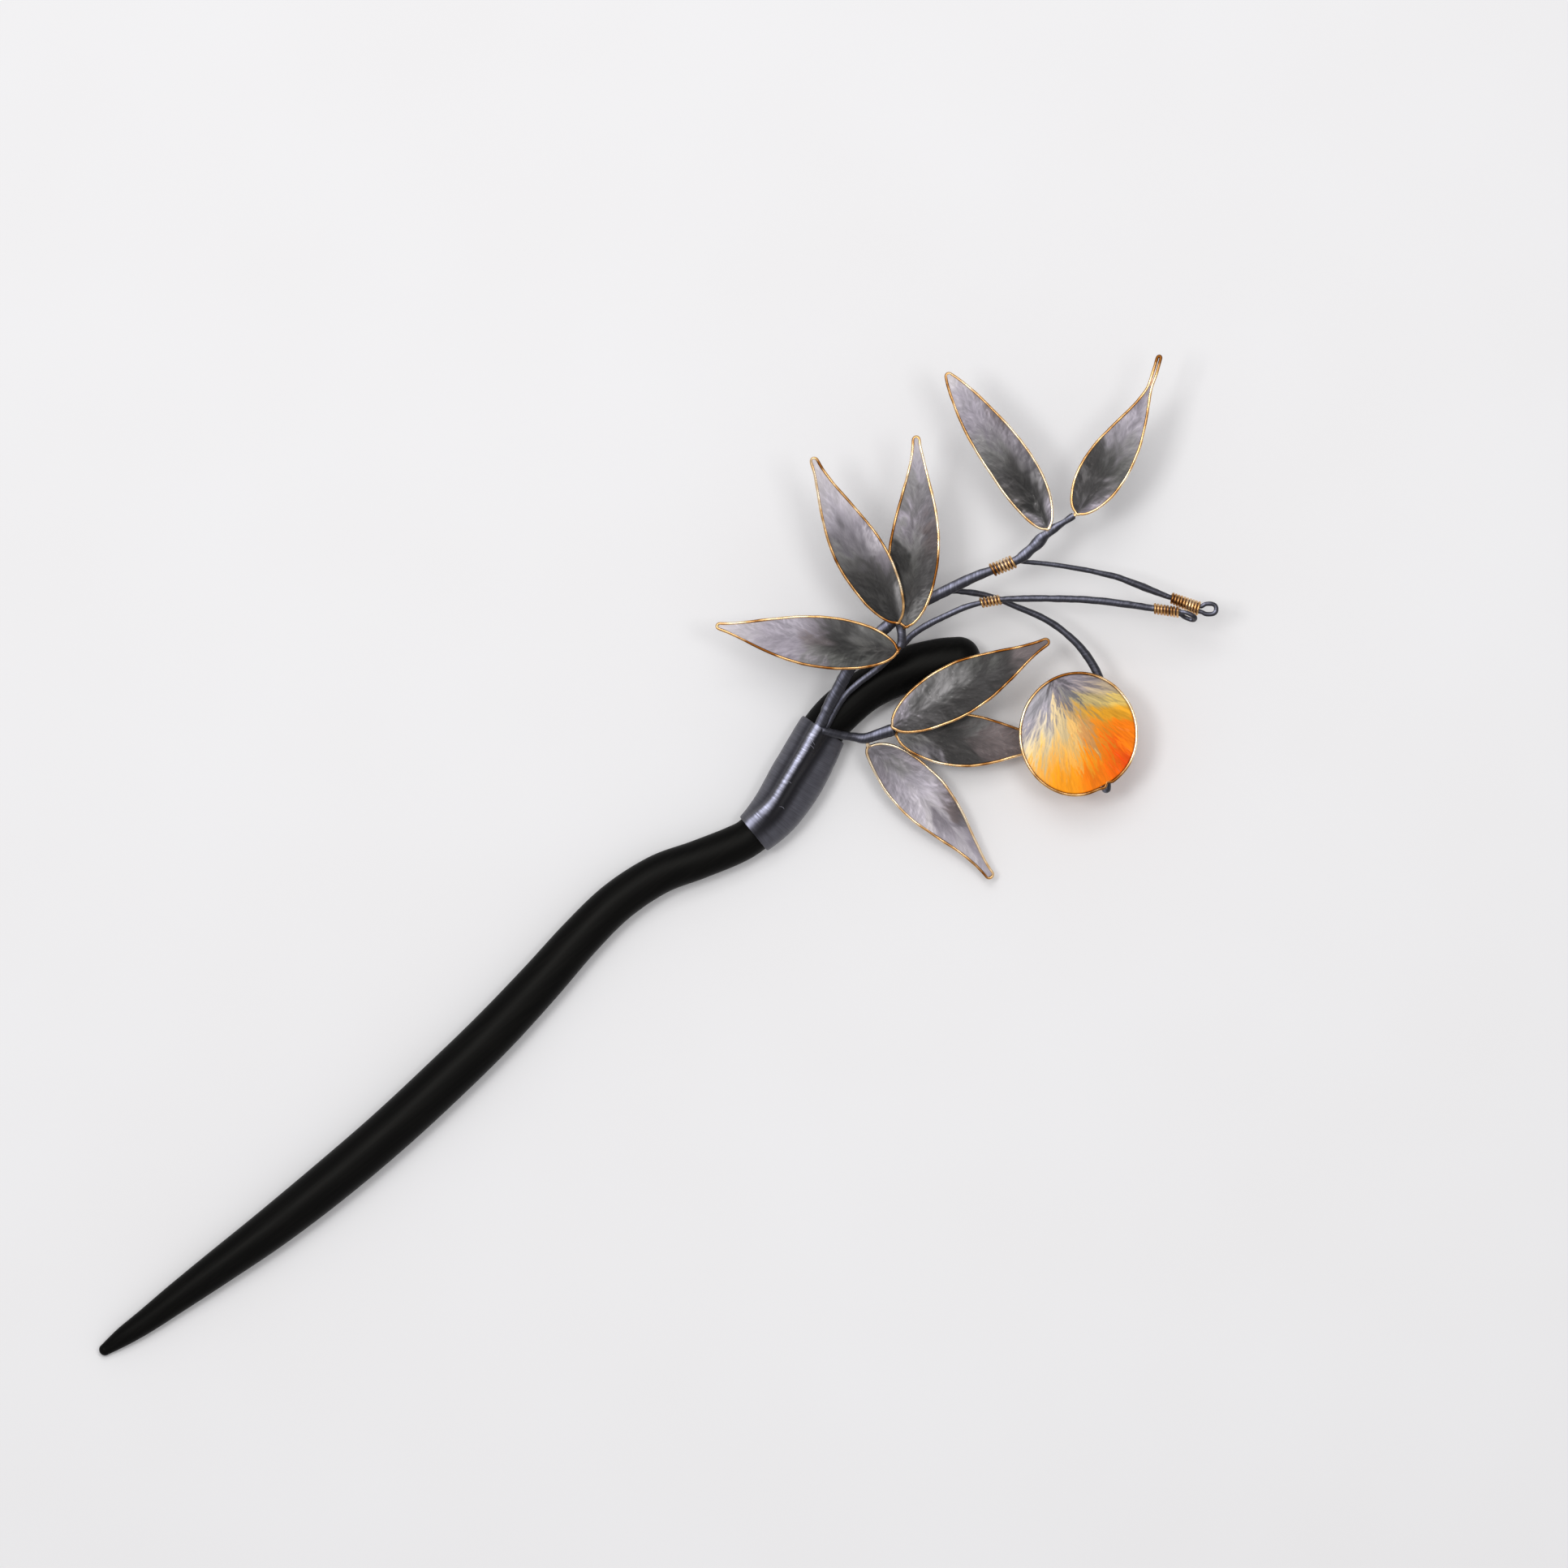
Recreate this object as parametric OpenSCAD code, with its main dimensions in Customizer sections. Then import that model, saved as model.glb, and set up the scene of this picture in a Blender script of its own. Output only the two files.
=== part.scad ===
// A hair stick of dark wood with a spray of thread-wound stems bound to its head.
// The spray carries eight leaves and one round fruit, each a loop of gold wire filled with brushed silk.
// All sizes are millimetres. Tables use the stick's own frame: x runs from the tip to the head,
// y to the side where the upper leaves point, z up from the surface that the piece lies on.

/* [Stick] */
// Thickness of the wood as a share of its width
stick_flatness = 0.84; // [0.7:0.02:0.95]
// Reach of the rounded head past the last station
head_round = 3.6; // [3:0.1:4.2]
// Reach of the rounded tip before the first station
tip_round = 0.95; // [0.7:0.05:1.2]
// Flat sides of the stick's cross section
stick_sides = 16; // [16:4:24]

/* [Thread wrap] */
// Thickness of the thread layer at the middle of the wrap
wrap_wall = 0.5; // [0.4:0.05:0.6]
// Thickness of the thread layer at the ends of the wrap
wrap_end_wall = 0.25; // [0.2:0.05:0.4]
// Angle on either side of a stem over which the thread slopes back to the wood
ridge_spread = 44; // [40:1:50]

/* [Gold wire] */
// Diameter of the wire round the leaves and the fruit
rim_wire = 0.5; // [0.4:0.05:0.55]
// Diameter of the wire of the four bindings
coil_wire = 0.36; // [0.3:0.02:0.42]
// Flat sides of a wire's cross section
wire_sides = 6; // [5:1:6]

/* [Silk] */
// Thickness of a leaf's silk along its midrib
silk_mid = 0.9; // [0.6:0.05:1]
// Thickness of a leaf's silk at its edge
silk_edge = 0.44; // [0.3:0.02:0.5]
// Thickness of the fruit's silk at its centre
fruit_mid = 1.0; // [0.6:0.05:1.1]

/* [Fruit] */
// Half of the fruit's longer width
fruit_long = 9.8; // [9:0.1:10]
// Half of the fruit's shorter width
fruit_short = 9.3; // [9:0.1:9.8]
// How far the rim is pressed in where its ends meet
fruit_dent = 0.4; // [0:0.05:0.6]

/* [Fit] */
// Gap kept between neighbouring pieces
gap = 0.06; // [0.04:0.01:0.1]

/* [Hidden] */
// Centre of the whole piece in the stick's frame, which becomes the origin
middle = [116.12, 5.02];

// Centre line of the stick: x, y, width
STICK = [
    [0.9, -0.4, 1.9], [4.5, -0.6, 3.1], [9, -0.9, 3.9], [15, -1.1, 4.7],
    [23, -1.4, 5.6], [34, -1.8, 6.6], [46, -1.8, 7.2], [58, -1.4, 7.4],
    [70, -0.5, 7.5], [81, 0.6, 7.4], [92, 2.2, 7.1], [101, 3.8, 6.8],
    [109.5, 4.7, 6.6], [117.5, 4, 6.4], [124, 1.9, 6.3], [130, 0.1, 6.2],
    [133.6, -0.4, 6.1], [138.6, 0.2, 6.9], [144, 2, 7.5], [148.6, 3.9, 7.4],
    [152.8, 5.7, 7.1], [156.8, 6.4, 7.1], [161.5, 6.4, 6.8], [166, 5.7, 7],
    [170, 4.5, 7.5], [174, 2.6, 7.6], [176.6, 1, 7.4]
];
// Rows of STICK between which the thread is wound
WRAP_FROM = 16;
WRAP_TO = 20;

// Stems under the thread: row of STICK where it starts, angle there, angle at the wrap's upper end,
// radius at its start, radius at the wrap's upper end. An angle of 90 is the top of the stick.
ROOT_MAIN = [16, 90, 112, 0.3, 0.95];
ROOT_LOWER = [19, 86, 86, 0.25, 0.48];
ROOT_SIDE = [19, 68, 68, 0.25, 0.58];
ROOTS = [ROOT_MAIN, ROOT_LOWER, ROOT_SIDE];

// Routes of the stems past the wrap: x, y, z, radius
MAIN = [
    [155.6, 8.2, 8.1, 0.98], [158.7, 9.4, 9.1, 1], [162, 10.7, 10, 1], [166, 11.8, 10.8, 0.97],
    [170.7, 12.3, 11.3, 0.95], [175.5, 12.1, 11.6, 0.93], [180, 11.3, 11.8, 0.92],
    [184, 10.4, 12, 0.88], [187.3, 9.6, 12.1, 0.82], [189.6, 8.9, 12.2, 0.68],
    [193.4, 7.75, 12.3, 0.68], [195.2, 7.5, 12.35, 0.9], [197.2, 7.6, 12.4, 0.92],
    [199.4, 7.9, 12.4, 0.88], [201.4, 7.9, 12.5, 0.66], [203.4, 7.7, 12.55, 0.56], [205.5, 7.5, 12.6, 0.5]
];
UPPER = [
    [193.8, 7.4, 11.1, 0.28], [194.9, 6.4, 11, 0.36], [196.5, 4.9, 10.9, 0.4], [199.2, 2.1, 10.8, 0.4],
    [202.2, -1.3, 10.6, 0.44], [204.9, -4.8, 10.4, 0.52], [207.2, -8.7, 10.1, 0.6], [209.25, -12.2, 9.9, 0.46]
];
LOWER = [
    [156.4, 7, 7.5, 0.5], [159, 7.8, 7.9, 0.5], [162.1, 8, 8.3, 0.5], [166, 7.9, 8.7, 0.5],
    [170.4, 8.3, 9.2, 0.52], [173.5, 8.7, 9.7, 0.52], [176.4, 8.4, 10.2, 0.52], [179.6, 7.7, 10.6, 0.52],
    [182.6, 6.9, 10.9, 0.5], [185, 5.9, 11, 0.42], [187.9, 4.3, 11.1, 0.42], [190.4, 2.5, 11.2, 0.52],
    [193.8, -0.2, 11.4, 0.56], [198.3, -4, 11.6, 0.58], [202.6, -8.2, 11.7, 0.6], [206, -11.9, 11.7, 0.52]
];
FRUIT_STEM = [
    [182.6, 10.2, 10.65, 0.35], [183.9, 9.1, 10.3, 0.45], [185.3, 7.7, 9.8, 0.48], [186.7, 6, 9.4, 0.5],
    [187.9, 4.2, 9.2, 0.5], [188.8, 2.5, 9, 0.5], [190, 0.4, 8.8, 0.5],
    [191.4, -2.3, 8.6, 0.52], [192.5, -5.5, 8.5, 0.56], [193.1, -9.4, 8.4, 0.62],
    [192.9, -13.3, 8.2, 0.68], [191.9, -16.7, 8.1, 0.66],
    [190.2, -20, 8.1, 0.6], [187.8, -23.6, 8.1, 0.58], [185.1, -26.8, 8.1, 0.62], [181.8, -30.4, 8.1, 0.74]
];
SIDE = [
    [153.9, 3.8, 7, 0.6], [154.8, 2.8, 7, 0.62], [155.8, 1.7, 6.95, 0.65], [157, 0.5, 6.95, 0.75],
    [158.9, -0.3, 7.1, 0.9], [161.1, -1.1, 7.6, 1.02]
];
NODE_TWIG = [
    [172.9, 11.9, 12.9, 0.6], [172.6, 10.8, 12.8, 0.62], [171.9, 9.6, 12.8, 0.62],
    [171.2, 8.8, 12.65, 0.6], [170.5, 8.3, 12.6, 0.55]
];

// Leaves: base x, y, z, tip x, y, z, half width, share of the length where it is widest, taper power,
// sideways bow, sway, tilt in degrees that lifts the left side, wire spread at the base, at the tip,
// share of the length where the wires close up, shares between which the silk is filled in
LEAVES = [
    [200.9, 8.7, 13.4, 203.6, 37.4, 15.6, 3.5, 0.38, 0.9, -0.5, -0.2, 4, 0.35, 0.5, 1, 0.02, 0.97],
    [206.2, 7.5, 12.7, 231.8, 18.8, 14.6, 3.6, 0.29, 1.5, -1, 0.3, -4, 0.35, 0.29, 0.83, 0.02, 0.78],
    [172.8, 11.9, 14.45, 178.3, 40.2, 16.6, 3.9, 0.4, 1.6, 0.4, -0.15, -10, 0.35, 0.5, 1, 0.02, 0.93],
    [173.5, 10.5, 13.9, 193.2, 32.7, 15.2, 3.9, 0.37, 1.6, -0.7, 0.1, -8, 0.35, 0.5, 1, 0.02, 0.97],
    [169.7, 8.3, 13, 150, 29, 12.4, 4, 0.39, 1.4, 0.3, -0.1, 3, 0.35, 0.42, 1, 0.02, 0.89],
    [161.9, -0.9, 8.4, 189.3, -5.5, 11.6, 4.1, 0.41, 1.6, 0.15, 0.1, 2, 0.35, 0.5, 1, 0.02, 0.97],
    [161.6, -2.3, 7, 182, -20.3, 3.6, 4.1, 0.37, 2, -0.4, 0, -3, 0.35, 0.5, 1, 0.02, 0.97],
    [157.3, -1.4, 5.8, 159.1, -29, 2.4, 3.9, 0.39, 1.9, 0.5, -0.15, 3, 1.1, 0.6, 1, 0.005, 0.97]
];

// Fruit: centre of its rim, heading of its longer width, heading of the dent, spread of the dent
FRUIT_AT = [184.2, -20.3, 9.25];
FRUIT_TURN = 51.5;
DENT_AT = 257;
DENT_SPREAD = 22;

// Bindings on a plain stretch of stem: first and last row of the route, turns
COIL_MAIN = [9, 10, 7];
COIL_LOWER = [9, 10, 6];
// Bindings that close an eye: turns, length, share of the length that the returning leg reaches into
EYE_COIL_UPPER = [10, 5.3, 0.45];
EYE_COIL_LOWER = [8, 4.5, 0.4];

// Eye at the end of a thin stem: radius of its wire, half of the leg spacing, half length, half width
EYE_WIRE = 0.37;
EYE_LEG = 0.41;
EYE_LONG = 1.15;
EYE_WIDE = 0.85;
// Run of the two legs from the binding to the middle of the eye
EYE_NECK = 1.55;
// Turn of each eye about its stem: the upper one faces up, the lower one stands on edge
EYE_ROLL_UPPER = 0;
EYE_ROLL_LOWER = 62;
// Bend of each eye sideways past its binding
EYE_BEND_UPPER = 22;
EYE_BEND_LOWER = -14;

// Steps of the meshes
stem_sides = 8;
stem_steps = 2;
coil_steps = 9;
coil_sides = 5;
leaf_steps = 13;
silk_steps = 13;
silk_across = 4;
fruit_steps = 36;
sleeve_sides = 2 * stick_sides;

rim_r = rim_wire / 2;
coil_r = coil_wire / 2;
up = [0, 0, 1];
// Distance from a flat side of the stick to its centre, as a share of its half thickness
facet = cos(180 / stick_sides);
// Height of the wood above the surface where the thread lies under it
wrap_lift = wrap_wall + 3 * gap + 0.06;

// General functions
function mix(a, b, k) = a + (b - a) * k;
function unit(v) = v / norm(v);
function flat3(row) = [row.x, row.y, row.z];
// A row of a table at a fractional row number, on a smooth curve through the rows
function at(rows, f) =
    let (i = min(floor(f), len(rows) - 2), k = f - i,
         a = rows[max(i - 1, 0)], b = rows[i], c = rows[i + 1], d = rows[min(i + 2, len(rows) - 1)])
    0.5 * (2 * b + (c - a) * k + (2 * a - 5 * b + 4 * c - d) * k * k + (3 * b - a - 3 * c + d) * k * k * k);
function smooth(rows, steps) = [for (f = [0 : 1 / steps : len(rows) - 1]) at(rows, f)];
// A ring of points in the plane of two directions
function ring(centre, side, over, a, b, n, turn = 0) =
    [for (j = [0 : n - 1]) let (w = 360 * j / n + turn) centre + a * cos(w) * side + b * sin(w) * over];

// A solid through rings of equal count, open with two caps or closed into a loop
module skin(rings, closed = false) {
    n = len(rings[0]);
    m = len(rings);
    sides = [for (i = [0 : m - (closed ? 1 : 2)], j = [0 : n - 1])
        let (a = i * n, b = ((i + 1) % m) * n, k = (j + 1) % n)
        each [[a + j, b + j, b + k], [a + j, b + k, a + k]]];
    caps = closed ? [] : [[for (j = [0 : n - 1]) j], [for (j = [n - 1 : -1 : 0]) (m - 1) * n + j]];
    polyhedron([for (r = rings) each r], concat(sides, caps), convexity = 8);
}

// A round rod along rows of x, y, z, radius
module rod(rows, n, over = up, closed = false) {
    m = len(rows);
    rings = [for (i = [0 : m - 1])
        let (before = closed ? (i + m - 1) % m : max(i - 1, 0),
             after = closed ? (i + 1) % m : min(i + 1, m - 1),
             t = unit(flat3(rows[after]) - flat3(rows[before])),
             side = unit(cross(over, t)))
        ring(flat3(rows[i]), side, cross(t, side), rows[i][3], rows[i][3], n)];
    skin(rings, closed);
}

module place() {
    translate([-middle.x, -middle.y, 0]) children();
}

// Stick: its direction, left side, half width, half thickness and centre height at a fractional row
function stick_heading(f) =
    let (a = at(STICK, max(f - 0.05, 0)), b = at(STICK, min(f + 0.05, len(STICK) - 1)))
        unit([b.x - a.x, b.y - a.y, 0]);
function left_of(t) = [-t.y, t.x, 0];
function half_width(f) = at(STICK, f)[2] / 2;
function half_thick(f) = half_width(f) * stick_flatness;
function stick_rise(f) = wrap_lift * min(at(STICK, f).x / STICK[WRAP_FROM].x, 1);
function stick_centre(f) = let (p = at(STICK, f)) [p.x, p.y, half_thick(f) * facet + stick_rise(f)];
// Rings of one rounded end: each is shrunk by the cosine of its angle
function round_end(f, way, reach, angles) = [for (w = angles)
    ring(stick_centre(f) + way * stick_heading(f) * reach * sin(w), -left_of(stick_heading(f)), up,
         half_width(f) * cos(w), half_thick(f) * cos(w), stick_sides, 180 / stick_sides)];

module hair_stick() {
    last = len(STICK) - 1;
    body = [for (f = [0 : 0.5 : last])
        ring(stick_centre(f), -left_of(stick_heading(f)), up, half_width(f), half_thick(f),
             stick_sides, 180 / stick_sides)];
    tip = round_end(0, -1, tip_round, [82, 55, 27]);
    head = round_end(last, 1, head_round, [20, 40, 58, 73, 85]);
    color("#1d1815") place()
        skin([for (r = concat(tip, body, head)) [for (j = [stick_sides - 1 : -1 : 0]) r[j]]]);
}

// Distance from the stick's centre to its skin at an angle, 0 to the right, 90 up
function wood_reach(f, w) =
    let (a = half_width(f), b = half_thick(f)) a * b / sqrt(pow(b * cos(w), 2) + pow(a * sin(w), 2));
function root_share(root, f) = (f - root[0]) / (WRAP_TO - root[0]);
function root_angle(root, f) = mix(root[1], root[2], root_share(root, f));
function root_radius(root, f) = mix(root[3], root[4], root_share(root, f));
// A stem's centre under the thread, resting on the wood
function root_centre(root, f) =
    let (w = root_angle(root, f), d = wood_reach(f, w) + gap + root_radius(root, f))
    stick_centre(f) - d * cos(w) * left_of(stick_heading(f)) + d * sin(w) * up;
function root_rows(root) = [for (f = [root[0] : 0.5 : WRAP_TO])
    let (p = root_centre(root, f)) [p.x, p.y, p.z, root_radius(root, f)]];
// Height that a stem lifts the thread above the wood at an angle: a raised cosine over the stem
function ridge(root, f, w) =
    let (off = (w - root_angle(root, f)) / ridge_spread)
    f < root[0] || abs(off) > 1 ? 0 : root_radius(root, f) * (1 + cos(180 * off));
function wrap_inner(f, w) = wood_reach(f, w) + gap + max([for (r = ROOTS) ridge(r, f, w)]) + 2 * gap;
function wrap_thick(f) =
    let (k = (f - WRAP_FROM) / (WRAP_TO - WRAP_FROM)) mix(wrap_end_wall, wrap_wall, pow(sin(180 * k), 0.7));

module thread_wrap() {
    stations = [for (f = [WRAP_FROM : 0.5 : WRAP_TO]) f];
    function band(f, extra) = [for (j = [sleeve_sides - 1 : -1 : 0])
        let (w = 360 * j / sleeve_sides + 180 / stick_sides, d = wrap_inner(f, w) + extra)
        stick_centre(f) - d * cos(w) * left_of(stick_heading(f)) + d * sin(w) * up];
    outer = [for (f = stations) band(f, wrap_thick(f))];
    inner = [for (i = [len(stations) - 1 : -1 : 0]) band(stations[i], 0)];
    color("#55565f") place() skin(concat(outer, inner), closed = true);
}

module stem(rows) {
    color("#4d4f58") place() rod(rows, stem_sides);
}

module main_stem() {
    stem(smooth(concat(root_rows(ROOT_MAIN), MAIN), stem_steps));
}

module fruit_stem() {
    stem(smooth(FRUIT_STEM, stem_steps));
}

module side_stem() {
    stem(smooth(concat(root_rows(ROOT_SIDE), SIDE), stem_steps));
}

module node_twig() {
    stem(smooth(NODE_TWIG, stem_steps));
}

// Eye: a point at a distance along the stem's end and a distance to the side, in the eye's turned plane.
// Past the binding the eye is bent sideways.
function end_heading(rows) =
    let (n = len(rows)) unit([rows[n - 1].x - rows[n - 2].x, rows[n - 1].y - rows[n - 2].y, 0]);
function turned(v, w) = [v.x * cos(w) - v.y * sin(w), v.x * sin(w) + v.y * cos(w), 0];
function eye_side(way, roll) = cos(roll) * left_of(way) + sin(roll) * up;
function eye_point(rows, roll, bend, reach, p, q) =
    let (way = end_heading(rows), bent = turned(way, p > reach ? bend : 0))
    flat3(rows[len(rows) - 1]) + min(p, reach) * way + max(p - reach, 0) * bent + q * eye_side(bent, roll);
function eye_rows(rows, roll, bend, coil) =
    let (turn = asin(EYE_LEG / EYE_WIDE), reach = coil[1], middle_at = reach + EYE_NECK)
    [for (pq = concat(
        [for (k = [0.3, 0.55, 0.8, 0.98]) [reach * k, EYE_LEG * min(1, k * 1.9)]],
        [for (w = [180 - turn : -30 : turn - 180]) [middle_at + EYE_LONG * cos(w), EYE_WIDE * sin(w)]],
        [for (k = [0.98, 0.8, coil[2] + 0.1]) [reach * k, -EYE_LEG]]))
        let (c = eye_point(rows, roll, bend, reach, pq[0], pq[1])) [c.x, c.y, c.z, EYE_WIRE]];

module eyed_stem(rows, end_rows, roll, bend, coil) {
    way = end_heading(end_rows);
    rod_rows = concat(smooth(rows, stem_steps), eye_rows(end_rows, roll, bend, coil));
    color("#4d4f58") place() rod(rod_rows, stem_sides, cross(way, eye_side(way, roll)));
}

module upper_stem() {
    eyed_stem(UPPER, UPPER, EYE_ROLL_UPPER, EYE_BEND_UPPER, EYE_COIL_UPPER);
}

module lower_stem() {
    eyed_stem(concat(root_rows(ROOT_LOWER), LOWER), LOWER, EYE_ROLL_LOWER, EYE_BEND_LOWER, EYE_COIL_LOWER);
}

// A binding: gold wire wound round an axis given by rows of x, y, z, side reach, upright reach
module binding(rows, turns, side_way) {
    n = turns * coil_steps;
    axis = unit(flat3(rows[1]) - flat3(rows[0]));
    over = unit(cross(axis, side_way));
    path = [for (i = [0 : n])
        let (row = mix(rows[0], rows[1], i / n), w = 360 * i / coil_steps)
        flat3(row) + row[3] * cos(w) * side_way + row[4] * sin(w) * over];
    rings = [for (i = [0 : n])
        let (t = unit(path[min(i + 1, n)] - path[max(i - 1, 0)]), w = 360 * i / coil_steps,
             out = unit(cross(t, cross(cos(w) * side_way + sin(w) * over, t))))
        ring(path[i], out, cross(t, out), coil_r, coil_r, coil_sides)];
    color("#c98a3c") place() skin(rings);
}

// Reach from a stem's axis to the centre of a wire wound round it
function wound(radius) = radius / cos(180 / coil_steps) + gap + coil_r / cos(180 / coil_sides);

module stem_coil(rows, coil) {
    a = rows[coil[0]];
    b = rows[coil[1]];
    binding([[a.x, a.y, a.z, wound(a[3]), wound(a[3])], [b.x, b.y, b.z, wound(b[3]), wound(b[3])]],
            coil[2], left_of(unit([b.x - a.x, b.y - a.y, 0])));
}

module eye_coil(rows, roll, coil) {
    a = eye_point(rows, roll, 0, coil[1], 0.25, 0);
    b = eye_point(rows, roll, 0, coil[1], coil[1] - 0.15, 0);
    binding([[a.x, a.y, a.z, wound(EYE_WIRE + 0.16), wound(EYE_WIRE + 0.12)],
             [b.x, b.y, b.z, wound(EYE_WIRE + EYE_LEG), wound(EYE_WIRE)]],
            coil[0], eye_side(end_heading(rows), roll));
}

module main_coil() {
    stem_coil(MAIN, COIL_MAIN);
}

module lower_coil() {
    stem_coil(LOWER, COIL_LOWER);
}

module upper_eye_coil() {
    eye_coil(UPPER, EYE_ROLL_UPPER, EYE_COIL_UPPER);
}

module lower_eye_coil() {
    eye_coil(LOWER, EYE_ROLL_LOWER, EYE_COIL_LOWER);
}

// Leaves: named columns of the table
function leaf_base(i) = [LEAVES[i][0], LEAVES[i][1], LEAVES[i][2]];
function leaf_tip(i) = [LEAVES[i][3], LEAVES[i][4], LEAVES[i][5]];
function leaf_length(i) = norm([LEAVES[i][3] - LEAVES[i][0], LEAVES[i][4] - LEAVES[i][1]]);
// Half width of the wire loop at a share of the length: an ellipse-like base, then a taper that starts
// level and thins by a power, and round ends of the wire spread's own radius
function leaf_half(i, t) =
    let (row = LEAVES[i], w = row[6], wide = row[7], p = row[8], kb = row[12], kt = row[13], shut = row[14],
         x = min((t - wide) / (shut - wide), 1))
    t < 0 ? sqrt(max(kb * kb - pow(t * leaf_length(i), 2), 0))
    : t < wide ? kb + (w - kb) * pow(1 - pow((wide - t) / wide, 2), 0.6)
    : kt + (w - kt) * pow(1 - x, p) * (1 + p * x);
// A point of the leaf's middle surface: share of the length, distance to the left
function leaf_point(i, t, s) =
    let (row = LEAVES[i], a = leaf_base(i), b = leaf_tip(i), t1 = min(max(t, 0), 1),
         way = unit([b.x - a.x, b.y - a.y, 0]), bend = row[9] * 4 * t1 * (1 - t1) + row[10] * sin(360 * t1))
    a + t * [b.x - a.x, b.y - a.y, b.z - a.z] + (s + bend) * left_of(way) + s * tan(row[11]) * up;

module leaf_rim(i) {
    kb = LEAVES[i][12] / leaf_length(i);
    kt = LEAVES[i][13] / leaf_length(i);
    side = [for (j = [0 : leaf_steps]) (1 - cos(180 * j / leaf_steps)) / 2];
    left = [for (t = side) leaf_point(i, t, leaf_half(i, t))];
    tip = [for (w = [60, 0, -60]) leaf_point(i, 1 + kt * cos(w), LEAVES[i][13] * sin(w))];
    right = [for (j = [leaf_steps : -1 : 0]) leaf_point(i, side[j], -leaf_half(i, side[j]))];
    base = [for (w = [-60, 0, 60]) leaf_point(i, -kb * cos(w), LEAVES[i][12] * sin(w))];
    rows = [for (p = concat(left, tip, right, base)) [p.x, p.y, p.z, rim_r]];
    color("#d9a550") place() rod(rows, wire_sides, closed = true);
}

// Half width of the silk: the wire loop less the wire and the gap, measured square to the edge
function silk_half(i, t) =
    let (e = 0.004, slope = (leaf_half(i, t + e) - leaf_half(i, t - e)) / (2 * e * leaf_length(i)))
    max(leaf_half(i, t) - (rim_r + 1.5 * gap) * sqrt(1 + slope * slope), 0.08);

module leaf_silk(i) {
    from = LEAVES[i][15];
    to = LEAVES[i][16];
    rings = [for (j = [0 : silk_steps])
        let (t = mix(from, to, (1 - cos(180 * j / silk_steps)) / 2), h = silk_half(i, t),
             swell = min(1, h / 1.5))
        [for (k = [0 : 2 * silk_across + 1])
            let (over = k <= silk_across, m = over ? k : 2 * silk_across + 1 - k,
                 s = 1 - 2 * m / silk_across,
                 thick = mix(silk_edge, silk_mid, swell * (1 - s * s)) / 2)
            leaf_point(i, t, s * h) + (over ? thick : -thick) * up]];
    color("#6f6b70") place() skin(rings);
}

// Fruit: reach of its rim at an angle, an ellipse pressed in by a bell curve where the wire ends meet
function fruit_reach(w) =
    let (a = fruit_long, b = fruit_short, v = w - FRUIT_TURN, d = (w - DENT_AT) / DENT_SPREAD)
    a * b / sqrt(pow(b * cos(v), 2) + pow(a * sin(v), 2)) - fruit_dent * exp(-d * d);

module fruit_rim() {
    rows = [for (j = [0 : fruit_steps - 1])
        let (w = 360 * j / fruit_steps, r = fruit_reach(w))
        [FRUIT_AT.x + r * cos(w), FRUIT_AT.y + r * sin(w), FRUIT_AT.z, rim_r]];
    color("#d9a550") place() rod(rows, wire_sides, closed = true);
}

module fruit_silk() {
    // Rings run from the top centre out to the edge, then back under to the bottom centre
    shares = [0.02, 0.35, 0.7, 0.92, 1];
    function level(k) = [for (j = [0 : fruit_steps - 1])
        let (over = k < len(shares), share = over ? shares[k] : shares[2 * len(shares) - 1 - k],
             w = 360 * j / fruit_steps, r = (fruit_reach(w) - rim_r - gap) * share,
             thick = mix(silk_edge, fruit_mid, 1 - share * share) / 2)
        FRUIT_AT + [r * cos(w), r * sin(w), over ? thick : -thick]];
    rings = [for (k = [2 * len(shares) - 1 : -1 : 0]) level(k)];
    color("#f9a01b") place() skin(rings);
}

hair_stick();
thread_wrap();
main_stem();
upper_stem();
lower_stem();
fruit_stem();
side_stem();
node_twig();
main_coil();
lower_coil();
upper_eye_coil();
lower_eye_coil();
leaf_rim(0);  // leaf_rim_1
leaf_rim(1);  // leaf_rim_2
leaf_rim(2);  // leaf_rim_3
leaf_rim(3);  // leaf_rim_4
leaf_rim(4);  // leaf_rim_5
leaf_rim(5);  // leaf_rim_6
leaf_rim(6);  // leaf_rim_7
leaf_rim(7);  // leaf_rim_8
leaf_silk(0);  // leaf_silk_1
leaf_silk(1);  // leaf_silk_2
leaf_silk(2);  // leaf_silk_3
leaf_silk(3);  // leaf_silk_4
leaf_silk(4);  // leaf_silk_5
leaf_silk(5);  // leaf_silk_6
leaf_silk(6);  // leaf_silk_7
leaf_silk(7);  // leaf_silk_8
fruit_rim();
fruit_silk();
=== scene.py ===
"""A bent hair stick of dark wood with a spray of silk leaves and one round silk fruit, dressed for rendering.

All tables are millimetres in the stick's own frame: x from the tip to the head, y to the side where the upper
leaves point, z up from the surface. MIDDLE moves them to the frame's origin and MM turns them into metres.
"""

from __future__ import annotations

import logging
import math
from dataclasses import dataclass, field
from enum import Enum

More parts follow.
